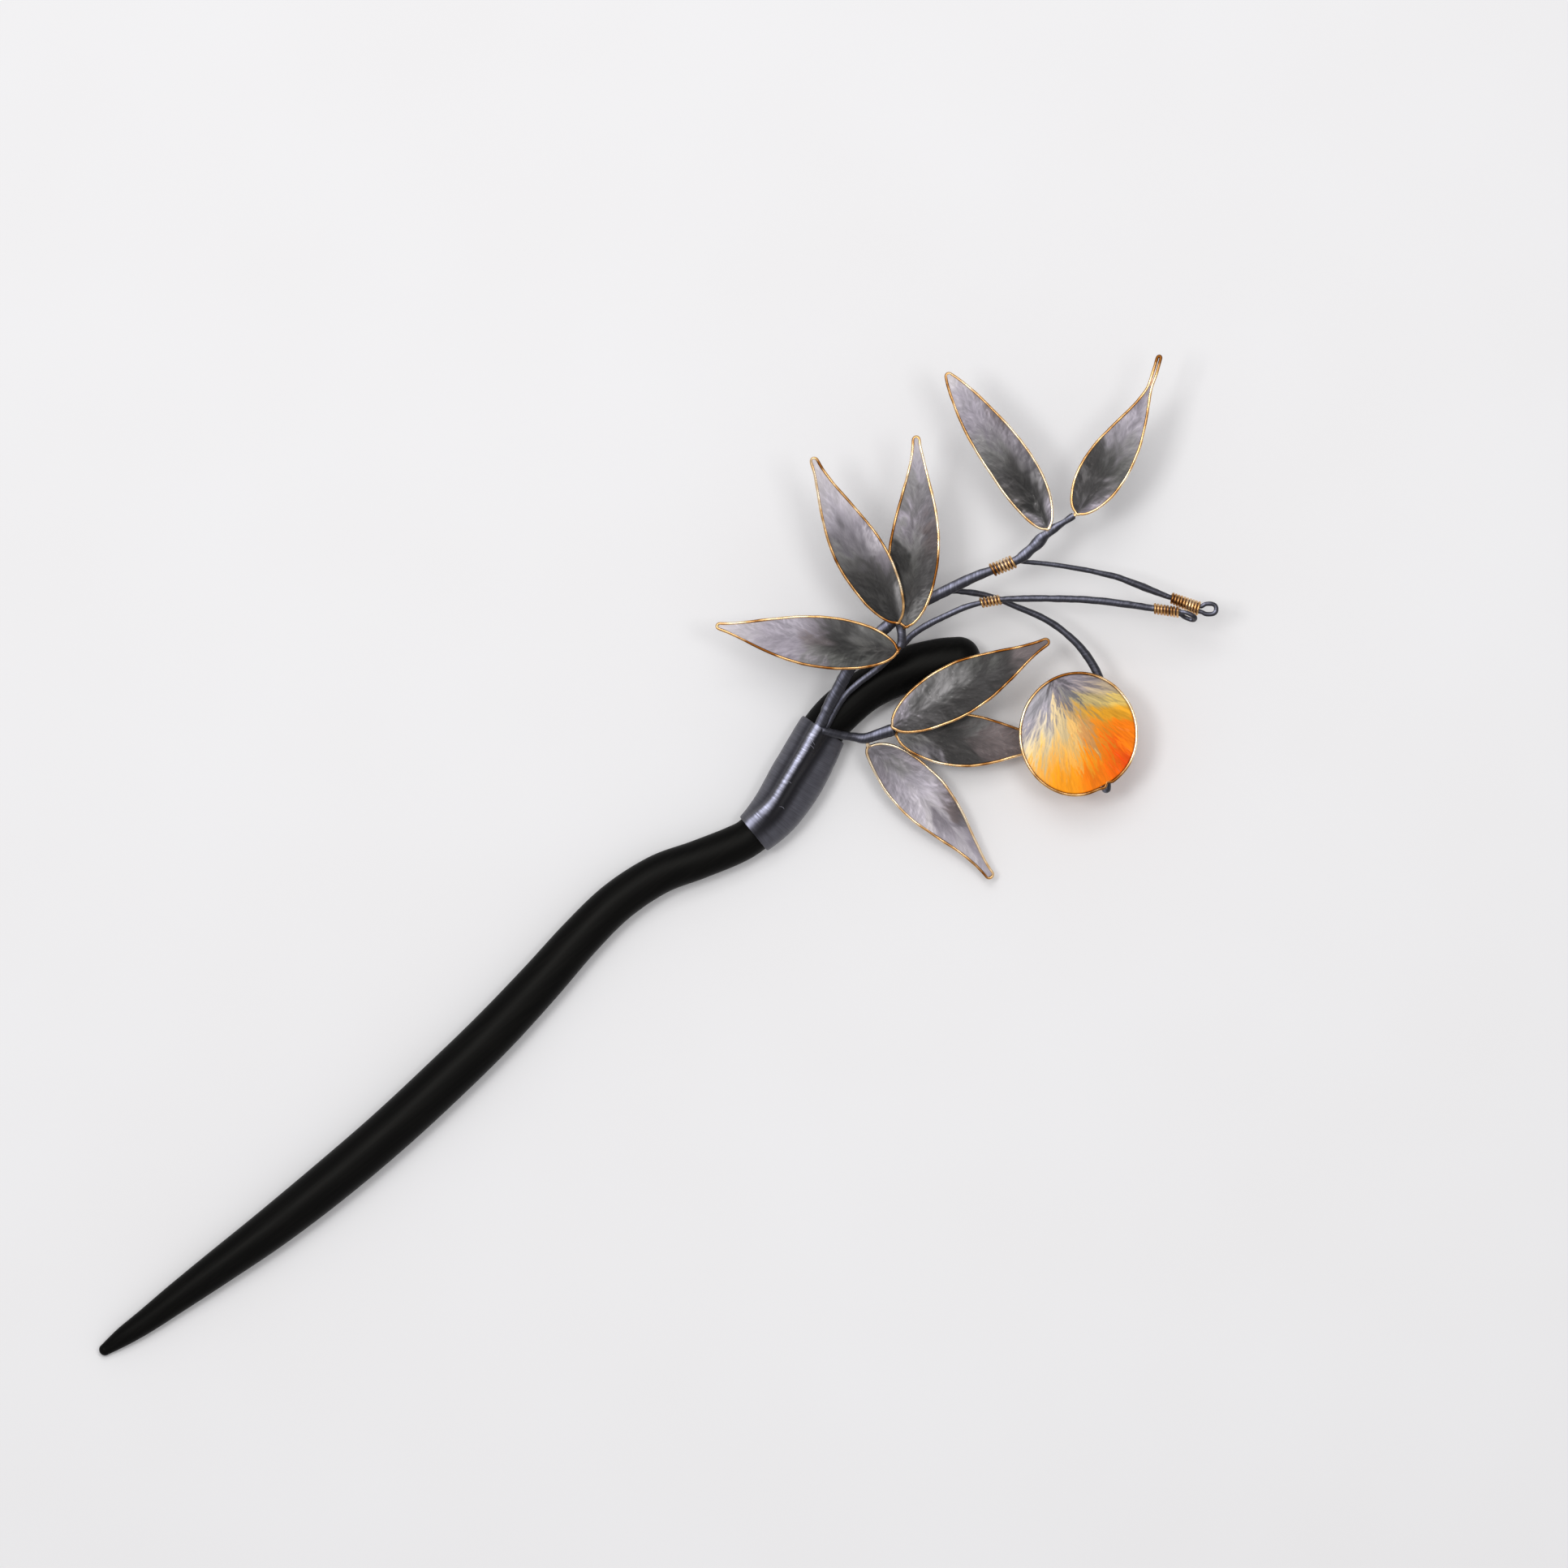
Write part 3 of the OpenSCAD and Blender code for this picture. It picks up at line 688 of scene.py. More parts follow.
@dataclass
class HairStick:
    """Bent tapering shaft of dark wood, an ellipse carried along its centre line.

    Attributes:
        centre: Centre line, columns x, y, width.
        flatness: Thickness as a share of the width.
        tip_round: Reach of the rounded tip.
        head_round: Reach of the rounded head.
        lift: Height of the wood above the surface where the thread lies under it.
        lift_row: Row of the centre line where that height is reached.
        flat: Height of the axis above the solid's lowest flat, as a share of half the thickness.
        press: Share of half the thickness that this round section keeps, so that it lies on the surface too.
        sides: Points in a ring.
    """

    centre: np.ndarray = table(
        (0.9, -0.4, 1.9), (4.5, -0.6, 3.1), (9, -0.9, 3.9), (15, -1.1, 4.7), (23, -1.4, 5.6),
        (34, -1.8, 6.6), (46, -1.8, 7.2), (58, -1.4, 7.4), (70, -0.5, 7.5), (81, 0.6, 7.4), (92, 2.2, 7.1),
        (101, 3.8, 6.8), (109.5, 4.7, 6.6), (117.5, 4, 6.4), (124, 1.9, 6.3), (130, 0.1, 6.2),
        (133.6, -0.4, 6.1), (138.6, 0.2, 6.9), (144, 2, 7.5), (148.6, 3.9, 7.4), (152.8, 5.7, 7.1),
        (156.8, 6.4, 7.1), (161.5, 6.4, 6.8), (166, 5.7, 7), (170, 4.5, 7.5), (174, 2.6, 7.6),
        (176.6, 1, 7.4),
    )  # fmt: skip
    flatness: float = 0.84
    tip_round: float = 0.95
    head_round: float = 3.6
    lift: float = 0.74
    lift_row: int = 16
    flat: float = math.cos(math.radians(11.25))
    press: float = 0.985
    sides: int = 72

    def heading(self, f: np.ndarray) -> np.ndarray:
        """Gives the level direction of the centre line at fractional rows."""
        ahead, behind = (along(self.centre, np.clip(f + d, 0, len(self.centre) - 1)) for d in (0.05, -0.05))
        return unit((ahead - behind) * [1, 1, 0])

    def half_width(self, f: np.ndarray) -> np.ndarray:
        """Gives half of the width at fractional rows."""
        return along(self.centre, f)[..., 2] / 2

    def middle(self, f: np.ndarray) -> np.ndarray:
        """Gives the centre of the section, raised so that the wood lies on the surface or on the thread.

        Formula: height = half thickness * flat + lift * min(x / x of the lift row, 1).

        Args:
            f: Fractional rows.

        Returns:
            Positions.
        """
        row = along(self.centre, f)
        rise = self.lift * np.minimum(row[..., 0] / self.centre[self.lift_row][0], 1)
        height = self.half_width(f) * self.flatness * self.flat + rise
        return np.stack([row[..., 0], row[..., 1], height], -1)

    def reach(self, f: np.ndarray, w: np.ndarray) -> np.ndarray:
        """Gives the distance from the centre to the wood.

        Formula: polar radius of the ellipse, a*b / sqrt((b cos w)^2 + (a sin w)^2).

        Args:
            f: Fractional rows.
            w: Angles, 0 to the right and a quarter turn up.

        Returns:
            Distances.
        """
        a = self.half_width(f)
        b = a * self.flatness
        return a * b / np.sqrt((b * np.cos(w)) ** 2 + (a * np.sin(w)) ** 2)

    def way(self, f: np.ndarray, w: np.ndarray) -> np.ndarray:
        """Gives the direction from the centre at fractional rows and angles: right cos w + up sin w."""
        return np.cross(self.heading(f), UP) * np.cos(w)[..., None] + UP * np.sin(w)[..., None]

    def build(self, finish: bpy.types.Material) -> None:
        """Builds the shaft: rings along the centre line, shrunk to a rounded tip and head.

        Args:
            finish: Wood.
        """
        last = len(self.centre) - 1
        end, body = np.radians(np.linspace(88, 4, 16)), np.linspace(0, last, 10 * last + 1)
        f = np.concatenate([0 * end, body, 0 * end + last])
        push = np.concatenate([-self.tip_round * np.sin(end), 0 * body, self.head_round * np.sin(end[::-1])])
        shrink = np.concatenate([np.cos(end), 0 * body + 1, np.cos(end[::-1]) ** 0.9])
        w = round_angles(self.sides)
        heading, half = self.heading(f), self.half_width(f)[:, None, None]
        across = np.cos(w)[None, :, None] * np.cross(UP, heading)[:, None] * half
        upright = np.sin(w)[None, :, None] * UP * half * self.flatness * self.press
        # Knife and sandpaper leave the shaft a little uneven: long shallow facets of a few hundredths
        uneven = 1 + 0.006 * noise(f[:, None] * 1.3, np.cos(w)[None] * 1.5 + 2, 3) * (shrink > 0.99)[:, None]
        middle = self.middle(f) + push[:, None] * heading
        rings = middle[:, None] + (across + upright) * (shrink[:, None] * uneven)[..., None]
        piece("HairStickShaft", finish, [Skin(rings)], "hair_stick")


# Thread wrap and stems


@dataclass(frozen=True)
class Root:
    """Stretch of a stem under the thread: where it starts, and its angle and radius at both ends."""

    start: float
    angle: float
    end_angle: float
    radius: float
    end_radius: float


@dataclass
class ThreadWrap:
    """Sleeve of thread round the stick, raised over the stem that runs under it.

    Attributes:
        stick: Stick below the thread.
        roots: Stems below the thread.
        ridge: Band raised by a stem, columns row of the stick's centre line, angle, height and half width.
        strays: Loose threads on top: row and angle where each starts and ends.
        first: Row of the stick's centre line where the thread starts.
        last: Row where it ends.
        wall: Thickness of the thread at the middle.
        end_wall: Thickness at the ends.
        gap: Clearance to the wood.
        pitch: Width of one turn of thread.
        relief: Depth between two turns.
        cap: Length over which the ends are rounded.
        girth: Radius that the map of the thread is laid round.
        loose: Radius of a loose thread.
        loose_tone: How much lighter a loose thread is than the sleeve.
        sides: Points in a ring of the sleeve.
        loose_sides: Points in a ring of a loose thread.
    """

    stick: HairStick
    roots: tuple[Root, ...] = (Root(16, 112, 101, 0.22, 0.95), Root(19, 86, 86, 0.25, 0.48))
    ridge: np.ndarray = table(
        (15.9, 114, 0.5, 1.7), (16.4, 111, 0.8, 1.6), (16.9, 106, 1.1, 1.3), (17.3, 104, 1.25, 1.1),
        (18, 104, 1.4, 1.05), (19, 101, 1.65, 1.15), (20, 98, 1.95, 1.3),
    )  # fmt: skip
    strays: np.ndarray = table(
        (19.35, 90, 19.5, 106), (19.22, 88, 19.28, 100), (17.9, 94, 17.86, 104), (17.2, 76, 17.18, 90),
    )  # fmt: skip
    first: float = 16
    last: float = 20
    wall: float = 0.5
    end_wall: float = 0.25
    gap: float = 0.06
    pitch: float = 0.24
    relief: float = 0.012
    cap: float = 0.3
    girth: float = 4.2
    loose: float = 0.03
    loose_tone: float = 4.0
    sides: int = 128
    loose_sides: int = 6

    def root_rows(self, root: Root, step: float = 0.5) -> np.ndarray:
        """Gives the centre line of a stem under the thread, resting on the wood.

        Formula: centre of the stick plus (wood reach + gap + radius) at the stem's angle.

        Args:
            root: Stem.
            step: Rows of the stick's centre line between samples.

        Returns:
            Columns x, y, z, radius.
        """
        f = np.arange(root.start, self.last + 1e-9, step)
        k = (f - root.start) / (self.last - root.start)
        w = np.radians(root.angle + (root.end_angle - root.angle) * k)
        radius = root.radius + (root.end_radius - root.radius) * k
        d = self.stick.reach(f, w) + self.gap + radius
        return np.column_stack([self.stick.middle(f) + d[:, None] * self.stick.way(f, w), radius])

    def raised(self, f: np.ndarray, degrees: np.ndarray, shift: float = 0.0) -> np.ndarray:
        """Gives how far the band over the stem stands above the thread beside it.

        Formula: height * exp(-(arc from the band's middle / half width)^2.6), 1 mm outside the wood.

        Args:
            f: Rows of the stick's centre line.
            degrees: Angles round it.
            shift: Degrees by which to look further round.

        Returns:
            Heights.
        """
        angle, high, half = (np.interp(f, self.ridge[:, 0], column) for column in self.ridge.T[1:])
        arc = np.abs(np.radians(degrees + shift - angle)) * (self.stick.reach(f, np.radians(degrees)) + 1)
        return high * np.exp(-((arc / half) ** 2.6))

    def tone(self, f: np.ndarray, at: np.ndarray, degrees: np.ndarray) -> np.ndarray:
        """Gives the sleeve's tone: dull thread, a painted highlight band on the stem and painted shade beside
        it.

        Args:
            f: Rows of the stick's centre line, as a column.
            at: Run along the sleeve, as a column.
            degrees: Angles round it, as a row.

        Returns:
            Tones, ring by point by rgb.
        """
        w, raised = np.radians(degrees), self.raised(f, degrees)
        smooth = self.stick.reach(f, w) + raised + 1
        smooth = self.stick.middle(f) + smooth[..., None] * self.stick.way(f, w)
        around = np.roll(smooth, -1, 1) - np.roll(smooth, 1, 1)
        out = unit(np.cross(around, np.gradient(smooth, axis=0)))
        on_stem = np.clip(raised / 0.8, 0, 1)
        # Painted shade: thread in the fold beside the raised stem is darkened
        left, right = self.raised(f, degrees, 17), self.raised(f, degrees, -19)
        crease_shade = np.clip(left - 0.75 * raised, 0, 1) + 0.35 * np.clip(right - raised, 0, 1)
        # Painted shade: the raised stem's side away from the window is darkened nearly to black
        flank_shade = np.clip(np.sum(out * RIGHT, -1) / 0.35 - 0.1, 0, 1) * np.clip(raised / 0.3, 0, 1)
        darker = 0.3 * np.clip(np.cos(w) + 0.1, 0, 1)
        # Random noise varies the tone turn by turn and, on the stem, frays the edges of the painted highlight
        # band
        frayed = 0.12 * noise(at / 0.4, w * 3, 12) + 0.5 * noise(at / 0.21, w * 2.5 + 3, 15) * on_stem
        # Painted highlight: the satin band from the window, laid only where the thread rides over the stem
        band = 1 + (painted_shine(out, 0.06, 9.5) - 1) * on_stem[..., None]
        return band * np.exp(frayed - 3.2 * crease_shade - darker - 2.8 * flank_shade)[..., None]

    def sleeve(self) -> Skin:
        """Builds the sleeve with one raised band for each turn of thread.

        Formula: reach = wood + raised band + clearance + (wall + relief) * rounding of the ends.

        Returns:
            The sleeve, from its outside round to its inside.
        """
        dense = np.linspace(self.first, self.last, 600)
        run = run_of(self.stick.middle(dense))
        count = int(run[-1] / self.pitch * 4)
        at = np.linspace(0, run[-1], count)[:, None]
        f = np.interp(at, run, dense)
        degrees = (180 - 360 * np.arange(self.sides) / self.sides)[None]
        degrees = np.where(degrees < -90, degrees + 360, degrees)
        w, raised = np.radians(degrees), self.raised(f, degrees)
        base = self.stick.reach(f, w) + raised
        k = (f - self.first) / (self.last - self.first)
        wall = self.end_wall + (self.wall - self.end_wall) * np.sin(np.pi * k) ** 0.7
        # Each turn wanders a little and sits a little higher or lower than the next
        wander = 0.35 * noise(at / 1.1, w * 1.2 + 4, 5)
        turn = at / self.pitch + wander + 0.25 * np.sin(w + 0.6)
        bulge = self.relief * (np.abs(np.sin(np.pi * turn)) ** 0.6 - 0.7)
        lump = 0.07 * noise(at / 2.3, w * 1.3 + 7, 11) * np.clip(raised + 0.4, 0, 1)
        relief = bulge + 0.02 * (hashed(np.floor(turn), 0.0, 9) - 0.5) + lump
        shut = rounded(np.minimum(at, run[-1] - at), self.cap)
        # Clearance below the thread is part of what lifts it, so the sleeve keeps its full height
        reach = base + 3 * self.gap + (wall + relief) * (0.35 + 0.65 * shut)
        middle, way = self.stick.middle(f), self.stick.way(f, w)
        back = np.linspace(count - 1, 0, 24).astype(int)
        inside = middle + (base + 2.5 * self.gap)[..., None] * way
        rings = np.concatenate([middle + reach[..., None] * way, inside[back]])
        wound = round_map(np.concatenate([at, at[back], at[:1]])[:, 0], self.girth, self.sides)
        tone = self.tone(f, at, degrees)
        return Skin(rings, Ends.JOINED, {"wound": wound}, {"tone": np.concatenate([tone, tone[back]])})

    def stray(self, row: float, start: float, end_row: float, stop: float) -> Skin:
        """Builds one loose thread that lies on the sleeve.

        Args:
            row: Row of the stick's centre line where it starts.
            start: Angle there.
            end_row: Row where it ends.
            stop: Angle there.

        Returns:
            The thread.
        """
        k = np.linspace(0, 1, 16)
        f, degrees = row + (end_row - row) * k + 0.03 * np.sin(np.pi * k), start + (stop - start) * k
        w = np.radians(degrees)
        d = self.stick.reach(f, w) + self.raised(f, degrees) + 3 * self.gap + self.wall + 0.02
        path = self.stick.middle(f) + d[:, None] * self.stick.way(f, w)
        rings = swept(path, self.loose * np.sin(np.pi * (0.06 + 0.88 * k)) ** 0.5, self.loose_sides)
        wound = round_map(run_of(path), 0.05, self.loose_sides)
        return Skin(rings, maps={"wound": wound}, dyes={"tone": self.loose_tone})

    def build(self, finish: bpy.types.Material) -> None:
        """Builds the sleeve and the loose threads on it."""
        skins = [self.sleeve(), *(self.stray(*ends) for ends in self.strays)]
        piece("ThreadWrapSleeve", finish, skins, "thread_wrap")


@dataclass(frozen=True)
class Eye:
    """Eye that a thin stem is bent into, nearly a rounded rectangle, as round flat pliers.

    Attributes:
        reach: Length of the binding that closes it.
        turns: Turns of that binding.
        back: Share of the reach to which the second leg comes back.
        roll: Degrees by which the eye's plane is rolled out of the level.
        bend: Degrees by which it is bent to the left.
        leg: Half of the distance between the legs.
        wire: Radius of the wire.
        long: Half of the loop's length.
        wide: Half of its width.
        neck: From the binding to the loop's middle.
        power: Squareness of the loop, 1 for an ellipse.
    """

    reach: float
    turns: int
    back: float
    roll: float
    bend: float
    leg: float = 0.41
    wire: float = 0.37
    long: float = 1.15
    wide: float = 0.85
    neck: float = 1.4
    power: float = 0.75

    def side(self, way: np.ndarray) -> np.ndarray:
        """Gives the direction across the eye's own plane."""
        r = math.radians(self.roll)
        return math.cos(r) * np.cross(UP, way) + math.sin(r) * UP

    def rows(self, end: np.ndarray, way: np.ndarray) -> np.ndarray:
        """Gives the wire's route out along one leg, round the loop and back along the other leg.

        Formula: the end of the stem, plus p along it up to the binding's reach and along the bent heading
        past it, plus q across.

        Args:
            end: End of the stem.
            way: Heading there.

        Returns:
            Columns x, y, z, radius.
        """
        turn = math.asin(self.leg / self.wide)
        out, home = np.linspace(0.25, 1.0, 8), np.linspace(1.0, self.back + 0.1, 6)
        w = np.linspace(math.pi - turn, turn - math.pi, 28)
        round_p, round_q = (np.sign(v) * np.abs(v) ** self.power for v in (np.cos(w), np.sin(w)))
        loop = self.reach + self.neck + self.long * round_p
        p = np.concatenate([self.reach * out, loop, self.reach * home])
        q = np.concatenate([self.leg * np.minimum(1, out * 1.9), self.wide * round_q, 0 * home - self.leg])
        b = math.radians(self.bend)
        bent = math.cos(b) * way + math.sin(b) * np.cross(UP, way)
        k = np.clip(p - self.reach + 0.5, 0, 1)[:, None]
        across = unit(self.side(way) * (1 - k) + self.side(bent) * k)
        along_way = np.minimum(p, self.reach)[:, None] * way + np.maximum(p - self.reach, 0)[:, None] * bent
        return np.column_stack([end + along_way + q[:, None] * across, 0 * p + self.wire])


@dataclass
class Stem:
    """Wire-cored stem wound with thread.

    Attributes:
        name: Name of the piece.
        node: Node that it replaces.
        route: Centre line past the thread wrap, columns x, y, z, radius.
        root: Centre line under the thread wrap, if the stem starts there.
        eye: Eye at its end, if it has one.
        twist: Depth of the two strands that twist round each other towards the end, as a share of the radius.
        twist_run: Length of that twisted stretch.
        twist_pitch: Length of one twist.
        cap: Length over which the ends are rounded.
        pitch: Width of one turn of thread.
        relief: Depth between two turns.
        seed: Picks the pattern of lumps.
        sides: Points in a ring.
    """

    name: str
    node: str
    route: np.ndarray
    root: np.ndarray | None = None
    eye: Eye | None = None
    twist: float = 0.0
    twist_run: float = 10.0
    twist_pitch: float = 3.4
    cap: float = 0.25
    pitch: float = 0.26
    relief: float = 0.007
    seed: float = 1.0
    sides: int = 20

    def end_way(self) -> np.ndarray:
        """Gives the level heading of the route's last stretch."""
        return unit((self.route[-1, :3] - self.route[-2, :3]) * [1, 1, 0])

    def rows(self) -> np.ndarray:
        """Gives the whole centre line, evenly sampled.

        Returns:
            The root, the route and the eye, columns x, y, z, radius.
        """
        route = self.route if self.root is None else np.concatenate([self.root, self.route])
        whole = evenly(route, 0.2)
        if self.eye is not None:
            whole = np.concatenate([whole, self.eye.rows(self.route[-1, :3], self.end_way())])
            # A short running average rounds the corner where the leg leaves the stem
            whole = softened(evenly(whole, 0.12, curved=False), 4)
        return evenly(whole, self.pitch / 4, curved=False)

    def build(self, finish: bpy.types.Material) -> None:
        """Builds the stem with its turns of thread as a fine screw-like relief.

        Formula: reach = (radius * (1 + lumps + uneven) + relief * (|sin(pi turn)|^0.7 - 0.8)) * end rounding.

        Args:
            finish: Thread.
        """
        rows = self.rows()
        path, radius = rows[:, :3], rows[:, 3:4]
        run, w = run_of(path)[:, None], round_angles(self.sides)[None]
        turn = run / self.pitch + w / (2 * np.pi)
        late = np.clip((run - run[-1] + self.twist_run) / 1.5, 0, 1)
        twisted = self.twist * late * np.cos(2 * w - 2 * np.pi * run / self.twist_pitch)
        lumps = 0.07 * noise(run / 2.2, np.cos(w) + self.seed, self.seed) + twisted
        lumps = lumps + 0.05 * noise(run / 0.7, np.sin(w) * 1.4, self.seed + 4)
        shut = rounded(np.minimum(run, run[-1] - run), self.cap, 0.05)
        reach = (radius * (1 + lumps) + self.relief * (np.abs(np.sin(np.pi * turn)) ** 0.7 - 0.8)) * shut
        over = UP if self.eye is None else np.cross(self.end_way(), self.eye.side(self.end_way()))
        heading = unit(np.gradient(path, axis=0))
        slant = np.gradient(lumps, axis=0)[..., None] * heading[:, None] * 9
        out = unit(ring(heading, unit(np.cross(over, heading)), self.sides) - slant)
        # The tone paints a satin highlight band on the side facing the window, broken turn by turn by random
        # streaks
        streaky = 0.13 * noise(turn * 0.9, np.sin(w) * 2, self.seed + 6)
        skin = Skin(
            swept(path, reach, self.sides, over),
            maps={"wound": round_map(run[:, 0], radius, self.sides)},
            dyes={"tone": painted_shine(out, 0.055, 16.0) * np.exp(streaky)[..., None]},
        )
        piece(self.name, finish, [skin], self.node)


@dataclass
class Binding:
    """Gold wire wound round a stem in touching or open turns.

    Attributes:
        name: Name of the piece.
        node: Node that it replaces.
        first: Start of the axis and the wire's reach from it across and upright.
        last: End of the axis and the reaches there.
        turns: Number of turns, which also picks how uneven they are.
        side: Direction across the axis in which the first reach is measured.
        wire: Radius of the wire.
        steps: Rings in a turn.
        wire_sides: Points in a ring.
        sheen_and_wear: Share of brown in the gilding, from 0 for a painted pale reflection to 1 for brown.
    """

    name: str
    node: str
    first: np.ndarray
    last: np.ndarray
    turns: int
    side: np.ndarray
    wire: float = 0.205
    steps: int = 26
    wire_sides: int = 12
    sheen_and_wear: float = 0.5

    def build(self, finish: bpy.types.Material) -> None:
        """Builds the wire as a flattened helix.

        Formula: axis + across * cos w * side + upright * sin w * over, for w of the whole number of turns.

        Args:
            finish: Wire.
        """
        k = np.linspace(0, 1, self.turns * self.steps + 1)
        w = 2 * np.pi * (self.turns * k - 0.25)
        over = unit(np.cross(unit(self.last[:3] - self.first[:3]), self.side))
        # Hand-wound turns don't space quite evenly
        slip = 0.05 * noise(w / (2 * np.pi), 0.0, self.turns) / self.turns
        row = self.first + (self.last - self.first) * np.clip(k + slip, 0, 1)[:, None]
        swell = 1 + 0.02 * noise(w / 2.6, 1.0, self.turns + 3)
        across, upright = (row[:, 3] * swell * np.cos(w))[:, None], (row[:, 4] * swell * np.sin(w))[:, None]
        path = row[:, :3] + across * self.side + upright * over
        heading = unit(np.gradient(path, axis=0))
        out = np.cos(w)[:, None] * self.side + np.sin(w)[:, None] * over
        out = unit(out - np.sum(out * heading, 1, keepdims=True) * heading)
        rings = path[:, None] + self.wire * ring(heading, out, self.wire_sides)
        piece(self.name, finish, [Skin(rings, dyes={"sheen_and_wear": self.sheen_and_wear})], self.node)


# Leaves and fruit


class Dye(Enum):
    """Dyes of the silk, from the darkest grey to the hottest red."""

    INK = "#252423"
    SOOT = "#353332"
    CHARCOAL = "#444242"
    MOSS = "#4d4d4a"
    PLUM = "#594f4f"
    ASH = "#626160"
    SLATE = "#6b676c"
    MAUVE = "#736969"
    STONE = "#7c7a7a"
    HEATHER = "#867f87"
    LAVENDER = "#968f99"
    MIST = "#a7a1aa"
    PEARL = "#beb8be"
    MILK = "#d0cacd"
    HAZE = "#a5a2a8"
    DOVE = "#9c908e"
    FAWN = "#baa78c"
    CAMEL = "#be9f74"
    OLIVE = "#bfaa72"
    STRAW = "#dcbc68"
    SAND = "#d6c9b2"
    CREAM = "#e9cf9c"
    HONEY = "#f4c374"
    OCHRE = "#c89a48"
    GOLD = "#e2a028"
    BRONZE = "#d4995a"
    APRICOT = "#fbb350"
    AMBER = "#fe9f1c"
    RUSSET = "#e98a20"
    ORANGE = "#f47c0c"
    FLAME = "#f26305"
    SCARLET = "#ee4d04"


@dataclass(frozen=True)
class Zone:
    """One soft-edged dab of dye: its colour, where it lies, how far it reaches and its strength."""

    dye: Dye
    u: float
    v: float
    reach_u: float
    reach_v: float
    strength: float = 1.0


def dabs(**by_dye: list[tuple[float, ...]]) -> tuple[Zone, ...]:
    """Makes the dabs listed by the name of their dye, each as place, reach and, if it isn't 1, strength."""
    return tuple(Zone(Dye[name], *numbers) for name, rows in by_dye.items() for numbers in rows)


def dyed(zones: tuple[Zone, ...], u: np.ndarray, v: np.ndarray) -> np.ndarray:
    """Blends dabs of dye into one smooth colour field.

    Formula: the mean of the colours, each weighted by strength * exp(-(du/reach)^2 - (dv/reach)^2).

    Args:
        zones: Dabs.
        u: First coordinate of each point.
        v: Second coordinate of each point.

    Returns:
        Linear colours.
    """
    total, weight = 0.0, 1e-9
    for z in zones:
        share = z.strength * np.exp(-(((u - z.u) / z.reach_u) ** 2) - ((v - z.v) / z.reach_v) ** 2)
        total = total + share[..., None] * linear(z.dye.value) ** 0.5
        weight = weight + share
    return (total / weight[..., None]) ** 2


@dataclass(frozen=True)
class Brush:
    """One pass of the brush over the floss, which leaves tufts.

    Attributes:
        count: Number of tufts.
        long: Half of a tuft's length.
        wide: Half of its width.
        stray: Degrees by which headings stray.
        bias: Mean tone, above 0 for tufts lighter than the dye.
        spread: How much tones differ.
    """

    count: int
    long: float
    wide: float
    stray: float
    bias: float = 0.0
    spread: float = 1.0

    def lay(
        self, x: np.ndarray, y: np.ndarray, spots: np.ndarray, headings: np.ndarray, luck: np.random.Generator
    ) -> np.ndarray:
        """Adds up the tufts at points of the panel.

        Formula: sum of tone * exp(-(a / long)^2 - (b / wide)^2), with a and b the distances along and across
        each slightly curled tuft.

        Args:
            x: First coordinate of the points.
            y: Second coordinate.
            spots: Middles of the tufts.
            headings: Radians of the lie of the silk at each middle.
            luck: Source of chance.

        Returns:
            Tone at each point.
        """
        count = len(spots)
        way = headings + np.radians(self.stray) * luck.standard_normal(count)
        tones = self.bias + self.spread * luck.standard_normal(count)
        size = np.exp(0.3 * luck.standard_normal((2, count)))
        curl = 0.12 * luck.standard_normal(count)
        # One column a tuft, in single precision to save time
        shape = (np.cos(way), np.sin(way), curl, self.long * size[0], self.wide * size[1], tones)
        tufts = np.stack([*spots.T, *shape]).astype(np.float32)
        total = np.zeros(x.size, np.float32)
        px, py = x.reshape(-1, 1).astype(np.float32), y.reshape(-1, 1).astype(np.float32)
        for x0, y0, c, s, bent, long, wide, tone in np.array_split(tufts, count // 50 + 1, axis=1):
            dx, dy = px - x0, py - y0
            a = dx * c + dy * s
            b = dy * c - dx * s - bent * a**2
            total += np.exp(-((a / long) ** 2) - (b / wide) ** 2) @ tone
        return total.reshape(x.shape).astype(float)


